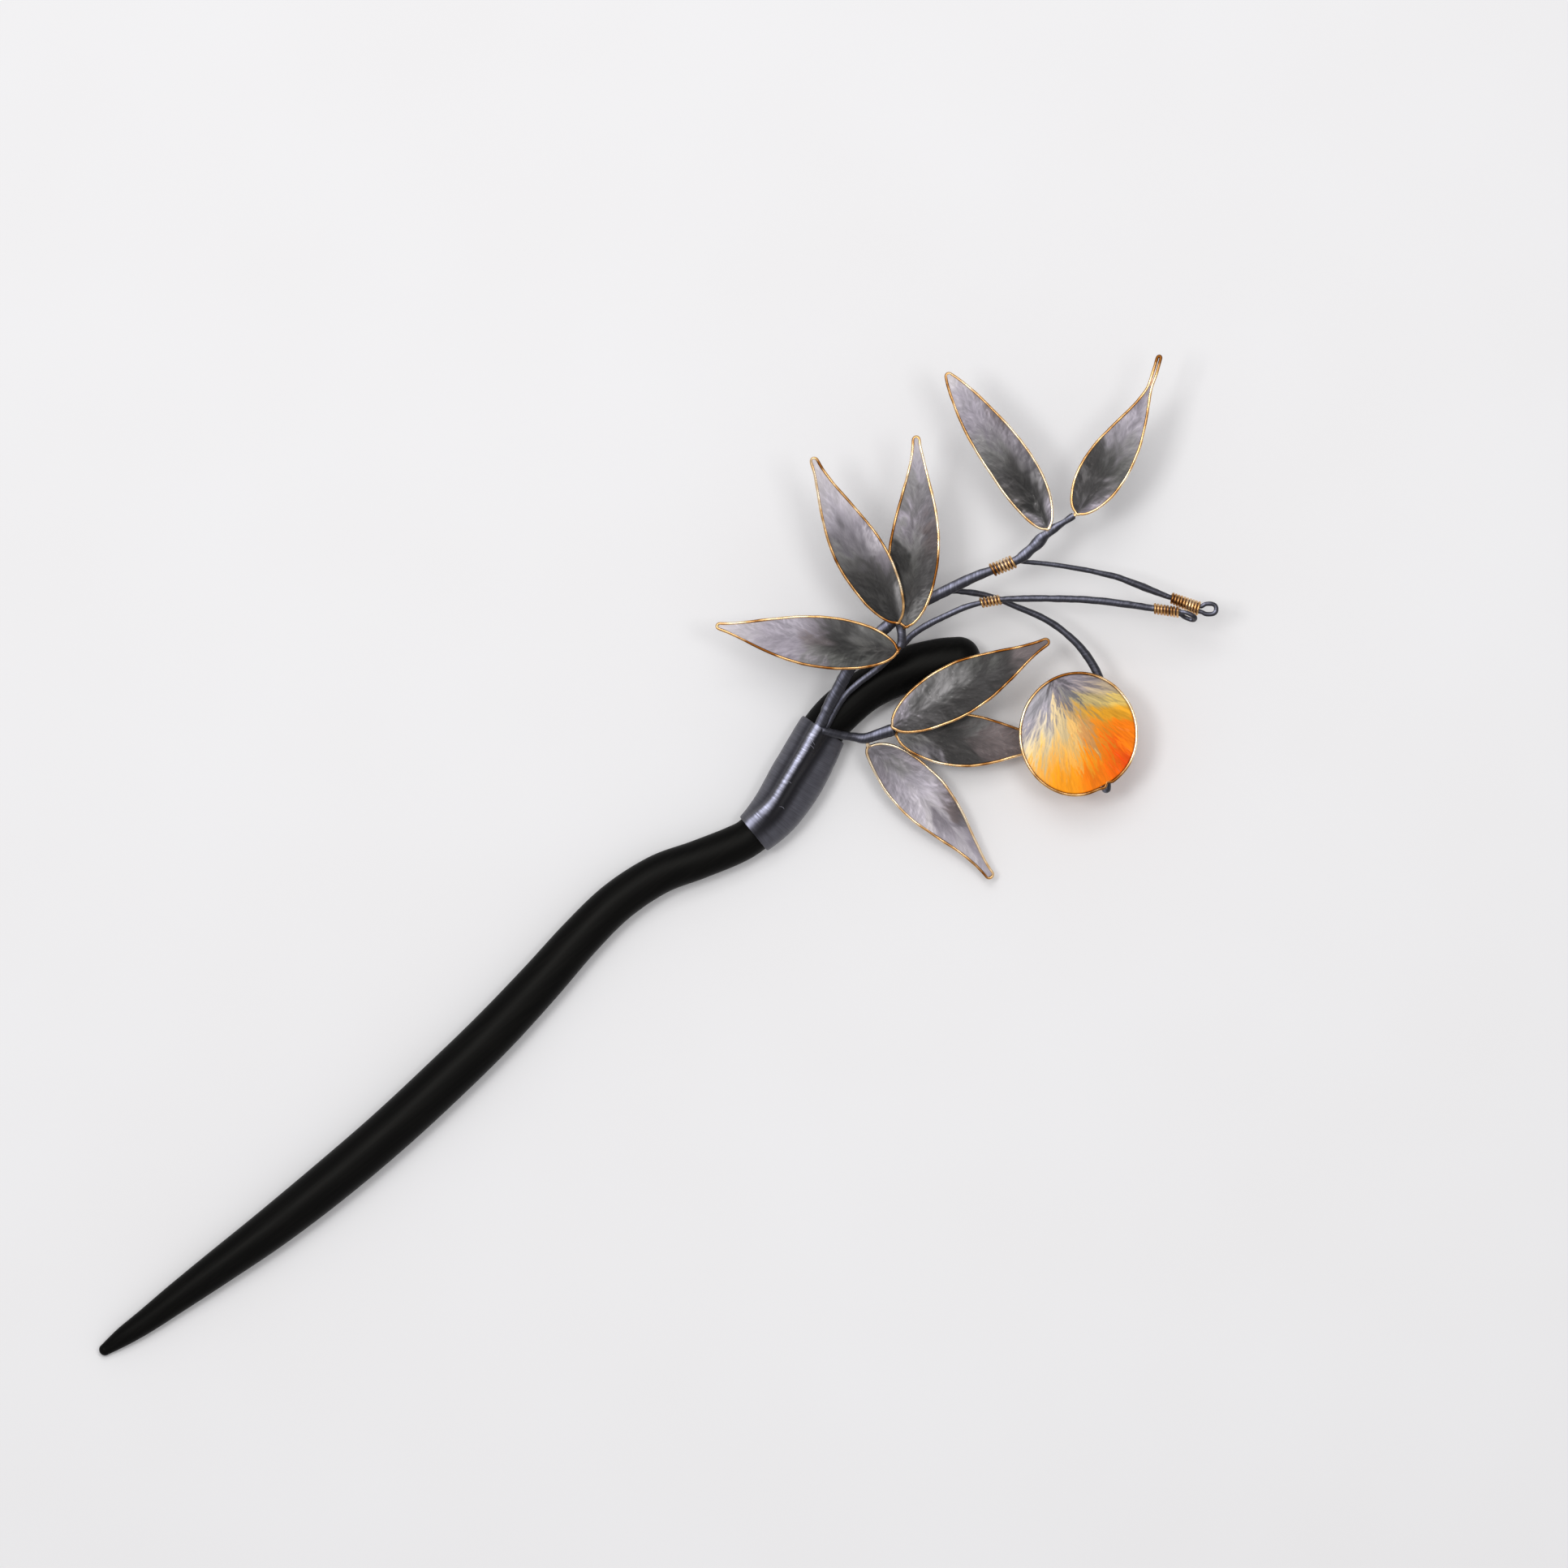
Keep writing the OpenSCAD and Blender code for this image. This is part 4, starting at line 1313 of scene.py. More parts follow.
@dataclass
class Leaf:
    """Loop of gold wire filled with brushed silk.

    Attributes:
        number: Number of the leaf's nodes.
        base: Where the wires meet at the stem.
        tip: Far end.
        held: Point inside the stem where the ends of the wire are bound in.
        half: Half of the greatest width.
        wide: Share of the length where it is widest.
        taper: Power of the taper to the tip.
        bow: Sideways bow of the middle.
        sway: Sideways S-curve.
        tilt: Degrees that lift the left side.
        fan: Degrees between the fibres and the midrib at the rim near the base.
        nap: How strongly brushed tufts differ in tone.
        sheen_and_wear: Painted sheen and rubbed gilt, 0 bright to 1 brown: left side low and high, right side
            low and high.
        zones: Dabs of dye, by share of the length and share of the half width, left positive.
        spread_base: Half of the wire spacing at the base.
        spread_tip: The same at the tip.
        shut: Share of the length where the wires close up.
        silk_to: Share of the length where the silk ends.
        dust: Number of bright specks.
        hook: How far the base is pulled to the left.
        rib: Depth of the groove along the midrib.
        wire: Radius of the wire.
        wire_sides: Points in a ring of the wire.
        edge: Thickness of the silk at the wire.
        mid: Thickness at the midrib.
        rows: Rows of points from base to tip.
        across: Faces from side to side.
    """

    number: int
    base: tuple[float, float, float]
    tip: tuple[float, float, float]
    held: tuple[float, float, float]
    half: float
    wide: float
    taper: float
    bow: float
    sway: float
    tilt: float
    fan: float
    nap: float
    sheen_and_wear: tuple[float, float, float, float]
    zones: tuple[Zone, ...]
    spread_base: float = 0.35
    spread_tip: float = 0.5
    shut: float = 1.0
    silk_to: float = 1.01
    dust: int = 12
    hook: float = 0.0
    rib: float = 0.05
    wire: float = 0.25
    wire_sides: int = 14
    edge: float = 0.44
    mid: float = 0.9
    rows: int = 220
    across: int = 54

    def length(self) -> float:
        """Gives the leaf's length in plan."""
        return math.hypot(self.tip[0] - self.base[0], self.tip[1] - self.base[1])

    def half_width(self, t: np.ndarray) -> np.ndarray:
        """Gives half of the wire loop's width at a share of the length.

        Formula: before the widest share, kb + (w - kb)(1 - ((wide - t)/wide)^2)^0.6; after it,
        kt + (w - kt)(1 - x)^p (1 + p x) with x the share of the way to where the wires close up.

        Args:
            t: Shares of the length.

        Returns:
            Half widths, which close in a half circle past either end.
        """
        grow = np.clip((self.wide - t) / self.wide, 0, 1)
        low = self.spread_base + (self.half - self.spread_base) * (1 - grow**2) ** 0.6
        x = np.clip((t - self.wide) / (self.shut - self.wide), 0, 1)
        high = self.spread_tip + (self.half - self.spread_tip) * (1 - x) ** self.taper * (1 + self.taper * x)
        before = np.sqrt(np.clip(self.spread_base**2 - (t * self.length()) ** 2, 0, None))
        past = np.sqrt(np.clip(self.spread_tip**2 - ((t - 1) * self.length()) ** 2, 0, None))
        return np.where(t < 0, before, np.where(t < self.wide, low, np.where(t > 1, past, high)))

    def place(self, t: np.ndarray | float, s: np.ndarray | float) -> np.ndarray:
        """Gives points of the leaf's middle surface.

        Formula: base + t (tip - base) + (s + bow 4t(1-t) + sway sin 360t + hook exp(-t/0.05)) left
        + s tan(tilt) up.

        Args:
            t: Shares of the length.
            s: Distances to the left.

        Returns:
            Positions.
        """
        base, tip = np.array(self.base), np.array(self.tip)
        left = np.cross(UP, unit((tip - base) * [1, 1, 0]))
        t, s = np.broadcast_arrays(t, s)
        c = np.clip(t, 0, 1)
        bend = self.bow * 4 * c * (1 - c) + self.sway * np.sin(2 * np.pi * c) + self.hook * np.exp(-c / 0.05)
        lift = s * math.tan(math.radians(self.tilt))
        return base + t[..., None] * (tip - base) + (s + bend)[..., None] * left + lift[..., None] * UP

    def silk_half(self, t: np.ndarray) -> np.ndarray:
        """Gives half of the silk's width: the loop less the wire, measured square to the edge.

        Args:
            t: Shares of the length.

        Returns:
            Half widths. The silk's edge lies 0.07 mm inside the wire.
        """
        e = 0.004
        slope = (self.half_width(t + e) - self.half_width(t - e)) / (2 * e * self.length())
        inset = (self.wire - 0.07) * np.sqrt(1 + np.minimum(slope**2, 1))
        return np.maximum(self.half_width(t) - inset, 0.05)

    def build_rim(self, finish: bpy.types.Material) -> None:
        """Builds the wire loop: up the left side, round the tip, down the right side, round the base.

        Args:
            finish: Wire.
        """
        t = (1 - np.cos(np.linspace(0, np.pi, 240))) / 2
        half = self.half_width(t)
        # Wire bent by hand wanders a little, which breaks its highlight into longer and shorter runs
        wobble = 0.036 * noise(t * 12, 0.0, self.number) + 0.018 * noise(t * 31, 1.0, self.number)
        turn = np.radians(np.linspace(80, -80, 9))
        left, right = self.place(t, half + wobble), self.place(t[::-1], wobble - half[::-1])
        tip = self.place(1 + self.spread_tip / self.length() * np.cos(turn), self.spread_tip * np.sin(turn))
        base = self.place(-self.spread_base / self.length() * np.cos(turn), -self.spread_base * np.sin(turn))
        path = evenly(np.concatenate([left, tip, right, base, left[:1]]), 0.16, curved=False)[:-1]
        run = run_of(path)
        lift = 0.05 * noise(run / 3.1, 0.0, self.number + 40) + 0.02 * noise(run / 1.1, 0.0, self.number + 50)
        path = softened(path + lift[:, None] * UP, 3, closed=True)
        radius = self.wire * (1 + 0.05 * noise(run / 1.7, 0.0, self.number + 60))
        # Each side of the loop is painted pale or brown near the base and near the tip: painted sheen where
        # its wire catches the light, brown for rubbed gilt and painted shade
        low, high, low_right, high_right = self.sheen_and_wear
        sheen_and_wear = [low, low, high, high, high_right, high_right, low_right, low_right]
        sheen_and_wear = np.interp(run / run[-1], [0.02, 0.15, 0.35, 0.48, 0.52, 0.65, 0.85, 0.98], sheen_and_wear)
        rings = swept(path, radius, self.wire_sides, closed=True)
        skins = [Skin(rings, Ends.JOINED, dyes={"sheen_and_wear": sheen_and_wear[:, None, None]})]
        # Both ends of the loop run on into the stem that carries the leaf
        for share, end_sheen_and_wear in ((0.6, low), (-0.6, low_right)):
            path = np.array([self.place(0.0, share * self.spread_base), self.held])
            rings = swept(evenly(path, 0.2, curved=False), self.wire - 0.02, self.wire_sides)
            skins.append(Skin(rings, dyes={"sheen_and_wear": end_sheen_and_wear}))
        piece(f"LeafWire{self.number}", finish, skins, f"leaf_rim_{self.number}")

    def lie(self, t: np.ndarray, s: np.ndarray) -> np.ndarray:
        """Gives the heading of the fibres from the midrib's own, in radians, left positive.

        Formula: s^0.7 * fan * (1 - 0.6 t), so that fibres fan out at the base and run along the leaf at
        its tip.

        Args:
            t: Shares of the length.
            s: Shares of the half width.

        Returns:
            Headings.
        """
        return np.sign(s) * np.abs(s) ** 0.7 * np.radians(self.fan) * (1 - 0.6 * t)

    def brushed(self, t: np.ndarray, s: np.ndarray) -> tuple[np.ndarray, np.ndarray]:
        """Lays all tufts of this leaf.

        Args:
            t: Shares of the length.
            s: Shares of the half width.

        Returns:
            Tone of the broad tufts, and tone of broad and fine tufts, feathered rims and specks together.
        """
        luck = np.random.default_rng(self.number)
        x, y = t * self.length(), s * self.silk_half(t)
        grid = np.linspace(0, 1, 400)
        share = self.silk_half(grid) / np.sum(self.silk_half(grid))
        # Each pass with its reach across the leaf, the steepness of its fan and its strength
        passes = (
            (Brush(240, 1.7, 0.5, 14), 1.04, 1.0, 0.62),
            (Brush(1900, 0.85, 0.14, 20), 1.04, 1.0, 0.68),
            (Brush(260, 0.6, 0.13, 16, 1.0, 0.5), 1.05, 2.4, 1.0),
            (Brush(self.dust, 0.11, 0.09, 90, 4.0, 1.0), 1.0, 1.0, 1.0),
        )
        tones = []
        for brush, reach, fan, strength in passes:
            st = luck.choice(grid, brush.count, p=share)
            ss = luck.uniform(-reach, reach, brush.count)
            feathered = np.sign(ss) * (1.02 - 0.4 * np.abs(luck.standard_normal(brush.count)) ** 1.5)
            # The pass with the steeper fan feathers the rims
            ss = feathered if fan > 1 else ss
            spots = np.stack([st * self.length(), ss * self.silk_half(st)], 1)
            way = np.clip(self.lie(st, ss) * fan, -1.35, 1.35)
            tones.append(strength * brush.lay(x, y, spots, way, luck))
        return tones[0], sum(tones)

    def build_silk(self, finish: bpy.types.Material) -> None:
        """Builds the silk panel with its brushed tufts as low relief and as tones of the dye.

        Formula: half thickness = mix(edge, mid, swell (1 - s^2)) / 2, with swell = min(1, half width / 1.5).
        Along a fibre of the fine map t L - |y| / tan(lean) is constant, y being the distance from the midrib.

        Args:
            finish: Silk.
        """
        k = np.linspace(0, 1, self.rows)[:, None]
        t = self.silk_to * (0.75 * k + 0.125 * (1 - np.cos(np.pi * k)))
        t, s = np.broadcast_arrays(t, 1 - 2 * np.arange(self.across + 1) / self.across)
        half = self.silk_half(t)
        broad, brushed = self.brushed(t, s)
        y, swell = np.abs(s) * half, np.minimum(1, half / 1.5)
        thick = (self.edge + (self.mid - self.edge) * swell * (1 - s**2)) / 2
        thick = thick + 0.022 * np.clip(brushed, -2, 3) * np.clip((1 - s**2) * 4, 0, 1)
        thick = (thick - self.rib * np.exp(-((y / 0.35) ** 2)) * swell)[..., None] * UP
        middle = self.place(t, s * half)
        rings = np.concatenate([middle + thick, (middle - thick)[:, ::-1]], 1)
        # The tufts carry the dye with them, so its edges are drawn out in streaks
        dragged = s + 0.14 * broad * np.sign(s) + 0.05 * brushed
        colour = dyed(self.zones, t - 0.03 * broad - 0.008 * brushed, dragged)
        colour = colour * np.exp(self.nap * (1.1 - 0.8 * t) * np.clip(brushed, -2.5, 4.5))[..., None]
        lean = 1 / np.tan(np.abs(self.lie(t, 0.6 * np.sign(s + 1e-6))))
        # Each side of each leaf takes its own stretch of the fine map
        across_fibre = t * self.length() - lean * y + self.number * 47.3 + 9.0 * (s > 0)
        uv = np.stack([across_fibre, y * np.sqrt(1 + lean**2)], -1) / 10
        maps = {"fibre": np.concatenate([uv, uv[:, ::-1], uv[:, :1]], 1)}
        skin = Skin(rings, maps=maps, dyes={"dye": np.concatenate([colour, colour[:, ::-1]], 1)})
        piece(f"LeafSilk{self.number}", finish, [skin], f"leaf_silk_{self.number}")


def photo_axes(x: np.ndarray, y: np.ndarray) -> tuple[np.ndarray, np.ndarray]:
    """Turns level coordinates of the stick's frame into the photograph's right and up."""
    return x * RIGHT[0] + y * RIGHT[1], y * RIGHT[0] - x * RIGHT[1]


@dataclass
class Fruit:
    """Round loop of gold wire filled with silk that fans out from one point of the rim.

    Attributes:
        at: Centre of the rim.
        long: Half of the longer width.
        short: Half of the shorter width.
        turn: Heading of the longer width.
        dent: Depth of the dent where the wire's ends meet.
        dent_at: Heading of the dent.
        dent_spread: Spread of the dent.
        fan_at: Point that the fibres start from, from the centre.
        wire: Radius of the wire.
        wire_sides: Points in a ring of the wire.
        edge: Thickness of the silk at the wire.
        mid: Thickness at the centre.
        zones: Dabs of dye, by photograph right and up from the centre in millimetres.
    """

    at: tuple[float, float, float] = (184.2, -20.3, 9.25)
    long: float = 9.8
    short: float = 9.3
    turn: float = 51.5
    dent: float = 0.4
    dent_at: float = 257
    dent_spread: float = 22
    fan_at: tuple[float, float] = (2.4, 9.6)
    wire: float = 0.25
    wire_sides: int = 12
    edge: float = 0.44
    mid: float = 1.0
    zones: tuple[Zone, ...] = dabs(
        SLATE=[(-3.2, 7.8, 1, 0.9, 1.3)], HEATHER=[(-0.8, 7.9, 1.6, 0.9), (-3.1, 5.9, 0.9, 1.2)],
        DOVE=[(1.7, 7.5, 1.4, 0.8)], FAWN=[(3.9, 7.1, 1.3, 0.9)], HAZE=[(-5.6, 6, 1.2, 1.3),
        (-7.4, 3.5, 1.3, 1.5)], MIST=[(-7.9, 0.8, 1.2, 1.4), (-5.2, 3.2, 1, 1.5)],
        SAND=[(-7.9, -1.9, 1.2, 1.3), (-5.6, 0.5, 1, 1.5)], CREAM=[(-7.1, -4.1, 1, 1.1),
        (-5.6, -1.9, 1, 1.4), (-3.3, 3.3, 0.9, 1.3), (-3.2, 0.8, 0.9, 1.6)], HONEY=[(-5.3, -4, 1, 1.3),
        (-3.1, -1.8, 0.9, 1.5), (-0.9, 1, 0.9, 1.5), (-0.8, -1.9, 0.9, 1.6)],
        APRICOT=[(-4.8, -6.3, 1.3, 1.2), (-3, -4.1, 1, 1.4), (-0.7, -4.4, 1, 1.4)],
        AMBER=[(-2.7, -7.2, 1.5, 1.3, 1.1), (-0.4, -7.4, 1.2, 1.2), (1.5, -3.8, 1, 1.2)],
        STONE=[(-1.1, 5.8, 1, 1.1, 1.3)], CAMEL=[(-0.8, 3.7, 0.9, 1.1)], OLIVE=[(1.2, 5.7, 1.2, 0.8),
        (3.7, 5.6, 1.5, 0.8)], STRAW=[(6.2, 5.4, 1.3, 0.9)], OCHRE=[(1.5, 3.4, 1.1, 0.9)],
        BRONZE=[(1.5, 1, 0.9, 1.2), (1.5, -1.5, 0.9, 1.3)], ORANGE=[(1.8, -6.7, 1.2, 1.3),
        (3.9, -3.8, 1, 1.3, 1.1), (4, -6.5, 1.2, 1.2), (6, 0.9, 1.2, 0.9), (8.1, 1, 1, 1.1),
        (8.1, -1.5, 1, 1.3)], GOLD=[(4, 3.3, 1.5, 0.8), (6.9, 3.4, 1.4, 0.8)], RUSSET=[(3.7, 1.1, 1.1, 1),
        (3.7, -1.4, 1, 1.3)], FLAME=[(6, -1.6, 1.1, 1.3), (5.9, -4.2, 1, 1.3, 1.1), (5.7, -5.9, 1, 1)],
        SCARLET=[(7.5, -3.7, 0.8, 1)],
    )  # fmt: skip

    def reach(self, degrees: np.ndarray) -> np.ndarray:
        """Gives the rim's distance from the centre: an ellipse pressed in by a bell curve at the dent.

        Formula: a b / sqrt((b cos v)^2 + (a sin v)^2) - dent * exp(-(angle from the dent / its spread)^2).

        Args:
            degrees: Headings from the centre.

        Returns:
            Distances.
        """
        v = np.radians(degrees - self.turn)
        ellipse = self.long * self.short / np.hypot(self.short * np.cos(v), self.long * np.sin(v))
        from_dent = (np.mod(degrees, 360) - self.dent_at) / self.dent_spread
        return ellipse - self.dent * np.exp(-(from_dent**2))

    def build_rim(self, finish: bpy.types.Material) -> None:
        """Builds the wire loop.

        Args:
            finish: Wire.
        """
        degrees = np.arange(0, 360, 1.5)
        r = self.reach(degrees) + 0.03 * noise(degrees / 14, 0.0, 31)
        # Both ends of the wire turn in beside each other and leave a small sharp notch
        r = r - 0.45 * np.exp(-(((degrees - 263) / 2.4) ** 2))
        r = r + 0.2 * np.exp(-(((degrees - self.dent_at) / 3.0) ** 2))
        w = np.radians(degrees)
        path = np.array(self.at) + np.stack([r * np.cos(w), r * np.sin(w), 0 * w], -1)
        # Painted sheen: the gilding is painted pale on the camera's left and right, where the wire faces the
        # side lamps, and brown above and below
        sheen_and_wear = 0.42 - 0.34 * np.cos(np.radians(2 * (degrees + FACING)))
        rings = swept(path, self.wire, self.wire_sides, closed=True)
        skin = Skin(rings, Ends.JOINED, dyes={"sheen_and_wear": sheen_and_wear[:, None, None]})
        piece("FruitWire", finish, [skin], "fruit_rim")

    def brushed(self, x: np.ndarray, y: np.ndarray) -> tuple[np.ndarray, np.ndarray]:
        """Lays all tufts of the fruit, each pointing away from where the fibres start.

        Args:
            x: First coordinate of the points, from the centre.
            y: Second coordinate.

        Returns:
            Tone of the broad tufts, and tone of all finer ones.
        """
        luck = np.random.default_rng(90)
        tones = []
        for brush, strength in (
            (Brush(420, 2.4, 0.36, 4), 0.4),
            (Brush(4200, 1.7, 0.11, 3), 0.6),
            (Brush(500, 1.2, 0.08, 4, 1.0, 0.4), 0.6),
        ):
            reach = 9.6 * np.sqrt(luck.uniform(0, 1, brush.count))
            bearing = luck.uniform(0, 2 * np.pi, brush.count)
            spots = np.stack([reach * np.cos(bearing), reach * np.sin(bearing)], 1)
            way = np.arctan2(spots[:, 1] - self.fan_at[1], spots[:, 0] - self.fan_at[0])
            tones.append(strength * brush.lay(x, y, spots, way, luck))
        return tones[0], tones[1] + tones[2]

    def build_silk(self, finish: bpy.types.Material) -> None:
        """Builds the silk lens: rings from the bottom centre out to the edge and back over the top.

        Formula: half thickness = mix(edge, mid, 1 - share^2) / 2, plus the brushed relief.

        Args:
            finish: Silk.
        """
        degrees = np.arange(0, 360, 0.9)
        share = np.concatenate([[0.01], np.linspace(0.03, 0.975, 117), [1.0]])[:, None]
        r = (self.reach(degrees) - self.wire + 0.03) * share
        x, y = r * np.cos(np.radians(degrees)), r * np.sin(np.radians(degrees))
        broad, fine = self.brushed(x, y)
        thick = (self.edge + (self.mid - self.edge) * (1 - share**2)) / 2
        thick = thick + 0.02 * np.clip(broad + fine, -2, 3) * np.clip((1 - share**2) * 5, 0, 1)
        top, under = (np.array(self.at) + np.stack([x, y, z], -1) for z in (thick, -thick))
        fan_x, fan_y = x - self.fan_at[0], y - self.fan_at[1]
        distance = np.hypot(fan_x, fan_y)
        # The tufts carry the dye along the fibres and stray sideways into the next band of dye
        pull, stray = 0.35 * broad + 0.75 * fine, 0.3 * fine
        right, upward = photo_axes(x, y)
        way_x, way_y = (part / np.maximum(distance, 0.5) for part in photo_axes(fan_x, fan_y))
        colour = dyed(self.zones, right + pull * way_x - stray * way_y, upward + pull * way_y + stray * way_x)
        # Grey silk shows its tufts more strongly than the bright dyes do
        red, blue = colour[..., 0], colour[..., 2]
        grey = 1 - np.clip((red - blue) / np.maximum(red, 0.01), 0, 1)
        colour = colour * np.exp((0.07 + 0.05 * grey) * np.clip(broad + fine, -2.2, 3))[..., None]
        uv = np.stack([np.arctan2(fan_x, -fan_y) * 9.0, distance], -1) / 10
        uv = np.concatenate([uv, uv[:, :1]], axis=1)
        # The underside needs only every sixth ring
        few = np.arange(0, len(share), 6)
        skin = Skin(
            np.concatenate([under[few], top[::-1]]),
            maps={"fibre": np.concatenate([uv[few], uv[::-1]])},
            dyes={"dye": np.concatenate([colour[few], colour[::-1]])},
        )
        piece("FruitSilk", finish, [skin], "fruit_silk")


# The spray


@dataclass
class Spray:
    """All stems, bindings, leaves and the fruit.

    Attributes:
        wrap: Thread that holds the spray to the stick.
        main: Centre line of the main stem, columns x, y, z, radius, as for the five below.
        upper: Upper stem.
        lower: Lower stem.
        fruit_route: Stem that carries the fruit.
        side: Stem of the three lower leaves.
        twig: Twig on the main stem that carries three leaves.
        upper_eye: Eye at the end of the upper stem.
        lower_eye: Eye at the end of the lower stem.
        bound: Row of the main and the lower stem's centre line where its binding starts.
        grip: How far a binding at an eye stands off the wire, so that its own wire clears it.
    """

    wrap: ThreadWrap
    main: np.ndarray = table(
        (155.6, 7.95, 8.3, 0.98), (158.7, 9.35, 9.1, 1), (162, 10.7, 10, 1), (166, 11.8, 10.8, 0.97),
        (170.7, 12.3, 11.3, 0.95), (175.5, 12.1, 11.6, 0.93), (180, 11.3, 11.8, 0.92),
        (184, 10.4, 12, 0.88), (187.3, 9.6, 12.1, 0.82), (189.6, 8.9, 12.2, 0.68),
        (193.4, 7.75, 12.3, 0.68), (195.2, 7.5, 12.35, 0.9), (197.2, 7.6, 12.4, 0.92),
        (199.4, 7.9, 12.4, 0.88), (201.4, 7.9, 12.5, 0.66), (203.4, 7.7, 12.55, 0.56),
        (205.5, 7.5, 12.6, 0.5),
    )  # fmt: skip
    upper: np.ndarray = table(
        (192.6, 7.9, 12.2, 0.3), (193.8, 7.4, 11.2, 0.32), (194.9, 6.4, 11, 0.36), (196.5, 4.9, 10.9, 0.4),
        (199.2, 2.1, 10.8, 0.4), (202.2, -1.3, 10.6, 0.44), (204.9, -4.8, 10.4, 0.52),
        (207.2, -8.7, 10.1, 0.6), (209.25, -12.2, 9.9, 0.46),
    )  # fmt: skip
    lower: np.ndarray = table(
        (156.4, 7, 7.5, 0.5), (159, 7.8, 7.9, 0.5), (162.1, 8, 8.3, 0.5), (166, 7.9, 8.7, 0.5),
        (170.4, 8.3, 9.2, 0.52), (173.5, 8.7, 9.7, 0.52), (176.4, 8.4, 10.2, 0.52),
        (179.6, 7.7, 10.6, 0.52), (182.6, 6.9, 10.9, 0.5), (185, 5.9, 11, 0.42), (187.9, 4.3, 11.1, 0.42),
        (190.4, 2.5, 11.2, 0.52), (193.8, -0.2, 11.4, 0.56), (198.3, -4, 11.6, 0.58),
        (202.6, -8.2, 11.7, 0.6), (206, -11.9, 11.7, 0.52),
    )  # fmt: skip
    fruit_route: np.ndarray = table(
        (181.2, 10.95, 11.7, 0.4), (182.6, 10.2, 10.75, 0.42), (183.9, 9.1, 10.3, 0.45),
        (185.3, 7.7, 9.8, 0.48), (186.7, 6, 9.4, 0.5), (187.9, 4.2, 9.2, 0.5), (188.8, 2.5, 9, 0.5),
        (190, 0.4, 8.8, 0.5), (191.4, -2.3, 8.6, 0.52), (192.5, -5.5, 8.5, 0.56), (193.1, -9.4, 8.4, 0.62),
        (192.9, -13.3, 8.2, 0.68), (191.9, -16.7, 8.1, 0.66), (190.2, -20, 8.1, 0.6),
        (187.8, -23.6, 8.1, 0.58), (185.1, -26.8, 8.1, 0.62), (181.8, -30.4, 8.1, 0.74),
    )  # fmt: skip
    side: np.ndarray = table(
        (151.9, 6.6, 8.1, 0.5), (152.7, 5.5, 8.3, 0.6), (153.6, 4.3, 7.9, 0.6), (154.7, 2.9, 7.3, 0.66),
        (155.8, 1.7, 6.95, 0.74), (157, 0.5, 6.95, 0.84), (158.9, -0.3, 7.1, 0.9), (160.8, -1.0, 7.5, 1.02),
        (161.7, -1.3, 7.7, 0.9),
    )  # fmt: skip
    twig: np.ndarray = table(
        (172.9, 11.9, 12.9, 0.72), (172.6, 10.8, 12.8, 0.74), (171.9, 9.6, 12.8, 0.7),
        (171.2, 8.8, 12.65, 0.7), (170.5, 8.3, 12.6, 0.62),
    )  # fmt: skip
    upper_eye: Eye = Eye(reach=5.3, turns=10, back=0.45, roll=0, bend=22)
    lower_eye: Eye = Eye(reach=4.5, turns=8, back=0.4, roll=62, bend=-14)
    bound: int = 9
    grip: float = 0.2

    def stems(self) -> list[Stem]:
        """Lists the stems with their routes and eyes."""
        main_root, lower_root = (self.wrap.root_rows(root) for root in self.wrap.roots)
        return [
            Stem("MainStem", "main_stem", self.main, main_root, twist=0.14, seed=1.0, sides=24),
            Stem("UpperStem", "upper_stem", self.upper, None, self.upper_eye, seed=2.0),
            Stem("LowerStem", "lower_stem", self.lower, lower_root, self.lower_eye, seed=3.0),
            Stem("FruitStem", "fruit_stem", self.fruit_route, cap=0.7, seed=4.0),
            Stem("SideStem", "side_stem", self.side, seed=5.0, sides=24),
            Stem("NodeTwig", "node_twig", self.twig, seed=6.0),
        ]

    def stretch_binding(self, name: str, node: str, route: np.ndarray, turns: int) -> Binding:
        """Winds a binding round one plain stretch of a stem.

        Args:
            name: Name of the piece.
            node: Node that it replaces.
            route: Centre line of the stem.
            turns: Number of turns.

        Returns:
            The binding.
        """
        first, last = route[self.bound : self.bound + 2][:, [0, 1, 2, 3, 3]] + [0, 0, 0, 0.25, 0.25]
        side = np.cross(UP, unit((last - first)[:3] * [1, 1, 0]))
        return Binding(name, node, first, last, turns, side)

    def eye_binding(self, name: str, node: str, stem: Stem) -> Binding:
        """Winds a binding round both legs of a stem's eye.

        Args:
            name: Name of the piece.
            node: Node that it replaces.
            stem: Stem that ends in the eye.

        Returns:
            The binding.
        """
        eye, end, way = stem.eye, stem.route[-1, :3], stem.end_way()
        reach = eye.wire + self.grip
        first = np.array([*(end + way * 0.25), reach + 0.16, reach + 0.12])
        last = np.array([*(end + way * (eye.reach - 0.15)), reach + eye.leg, reach])
        return Binding(name, node, first, last, eye.turns, eye.side(way))

    def bindings(self, stems: list[Stem]) -> list[Binding]:
        """Lists the four gold bindings, each on the stem that it is wound round."""
        return [
            self.stretch_binding("MainBinding", "main_coil", self.main, 7),
            self.stretch_binding("LowerBinding", "lower_coil", self.lower, 6),
            self.eye_binding("UpperEyeBinding", "upper_eye_coil", stems[1]),
            self.eye_binding("LowerEyeBinding", "lower_eye_coil", stems[2]),
        ]

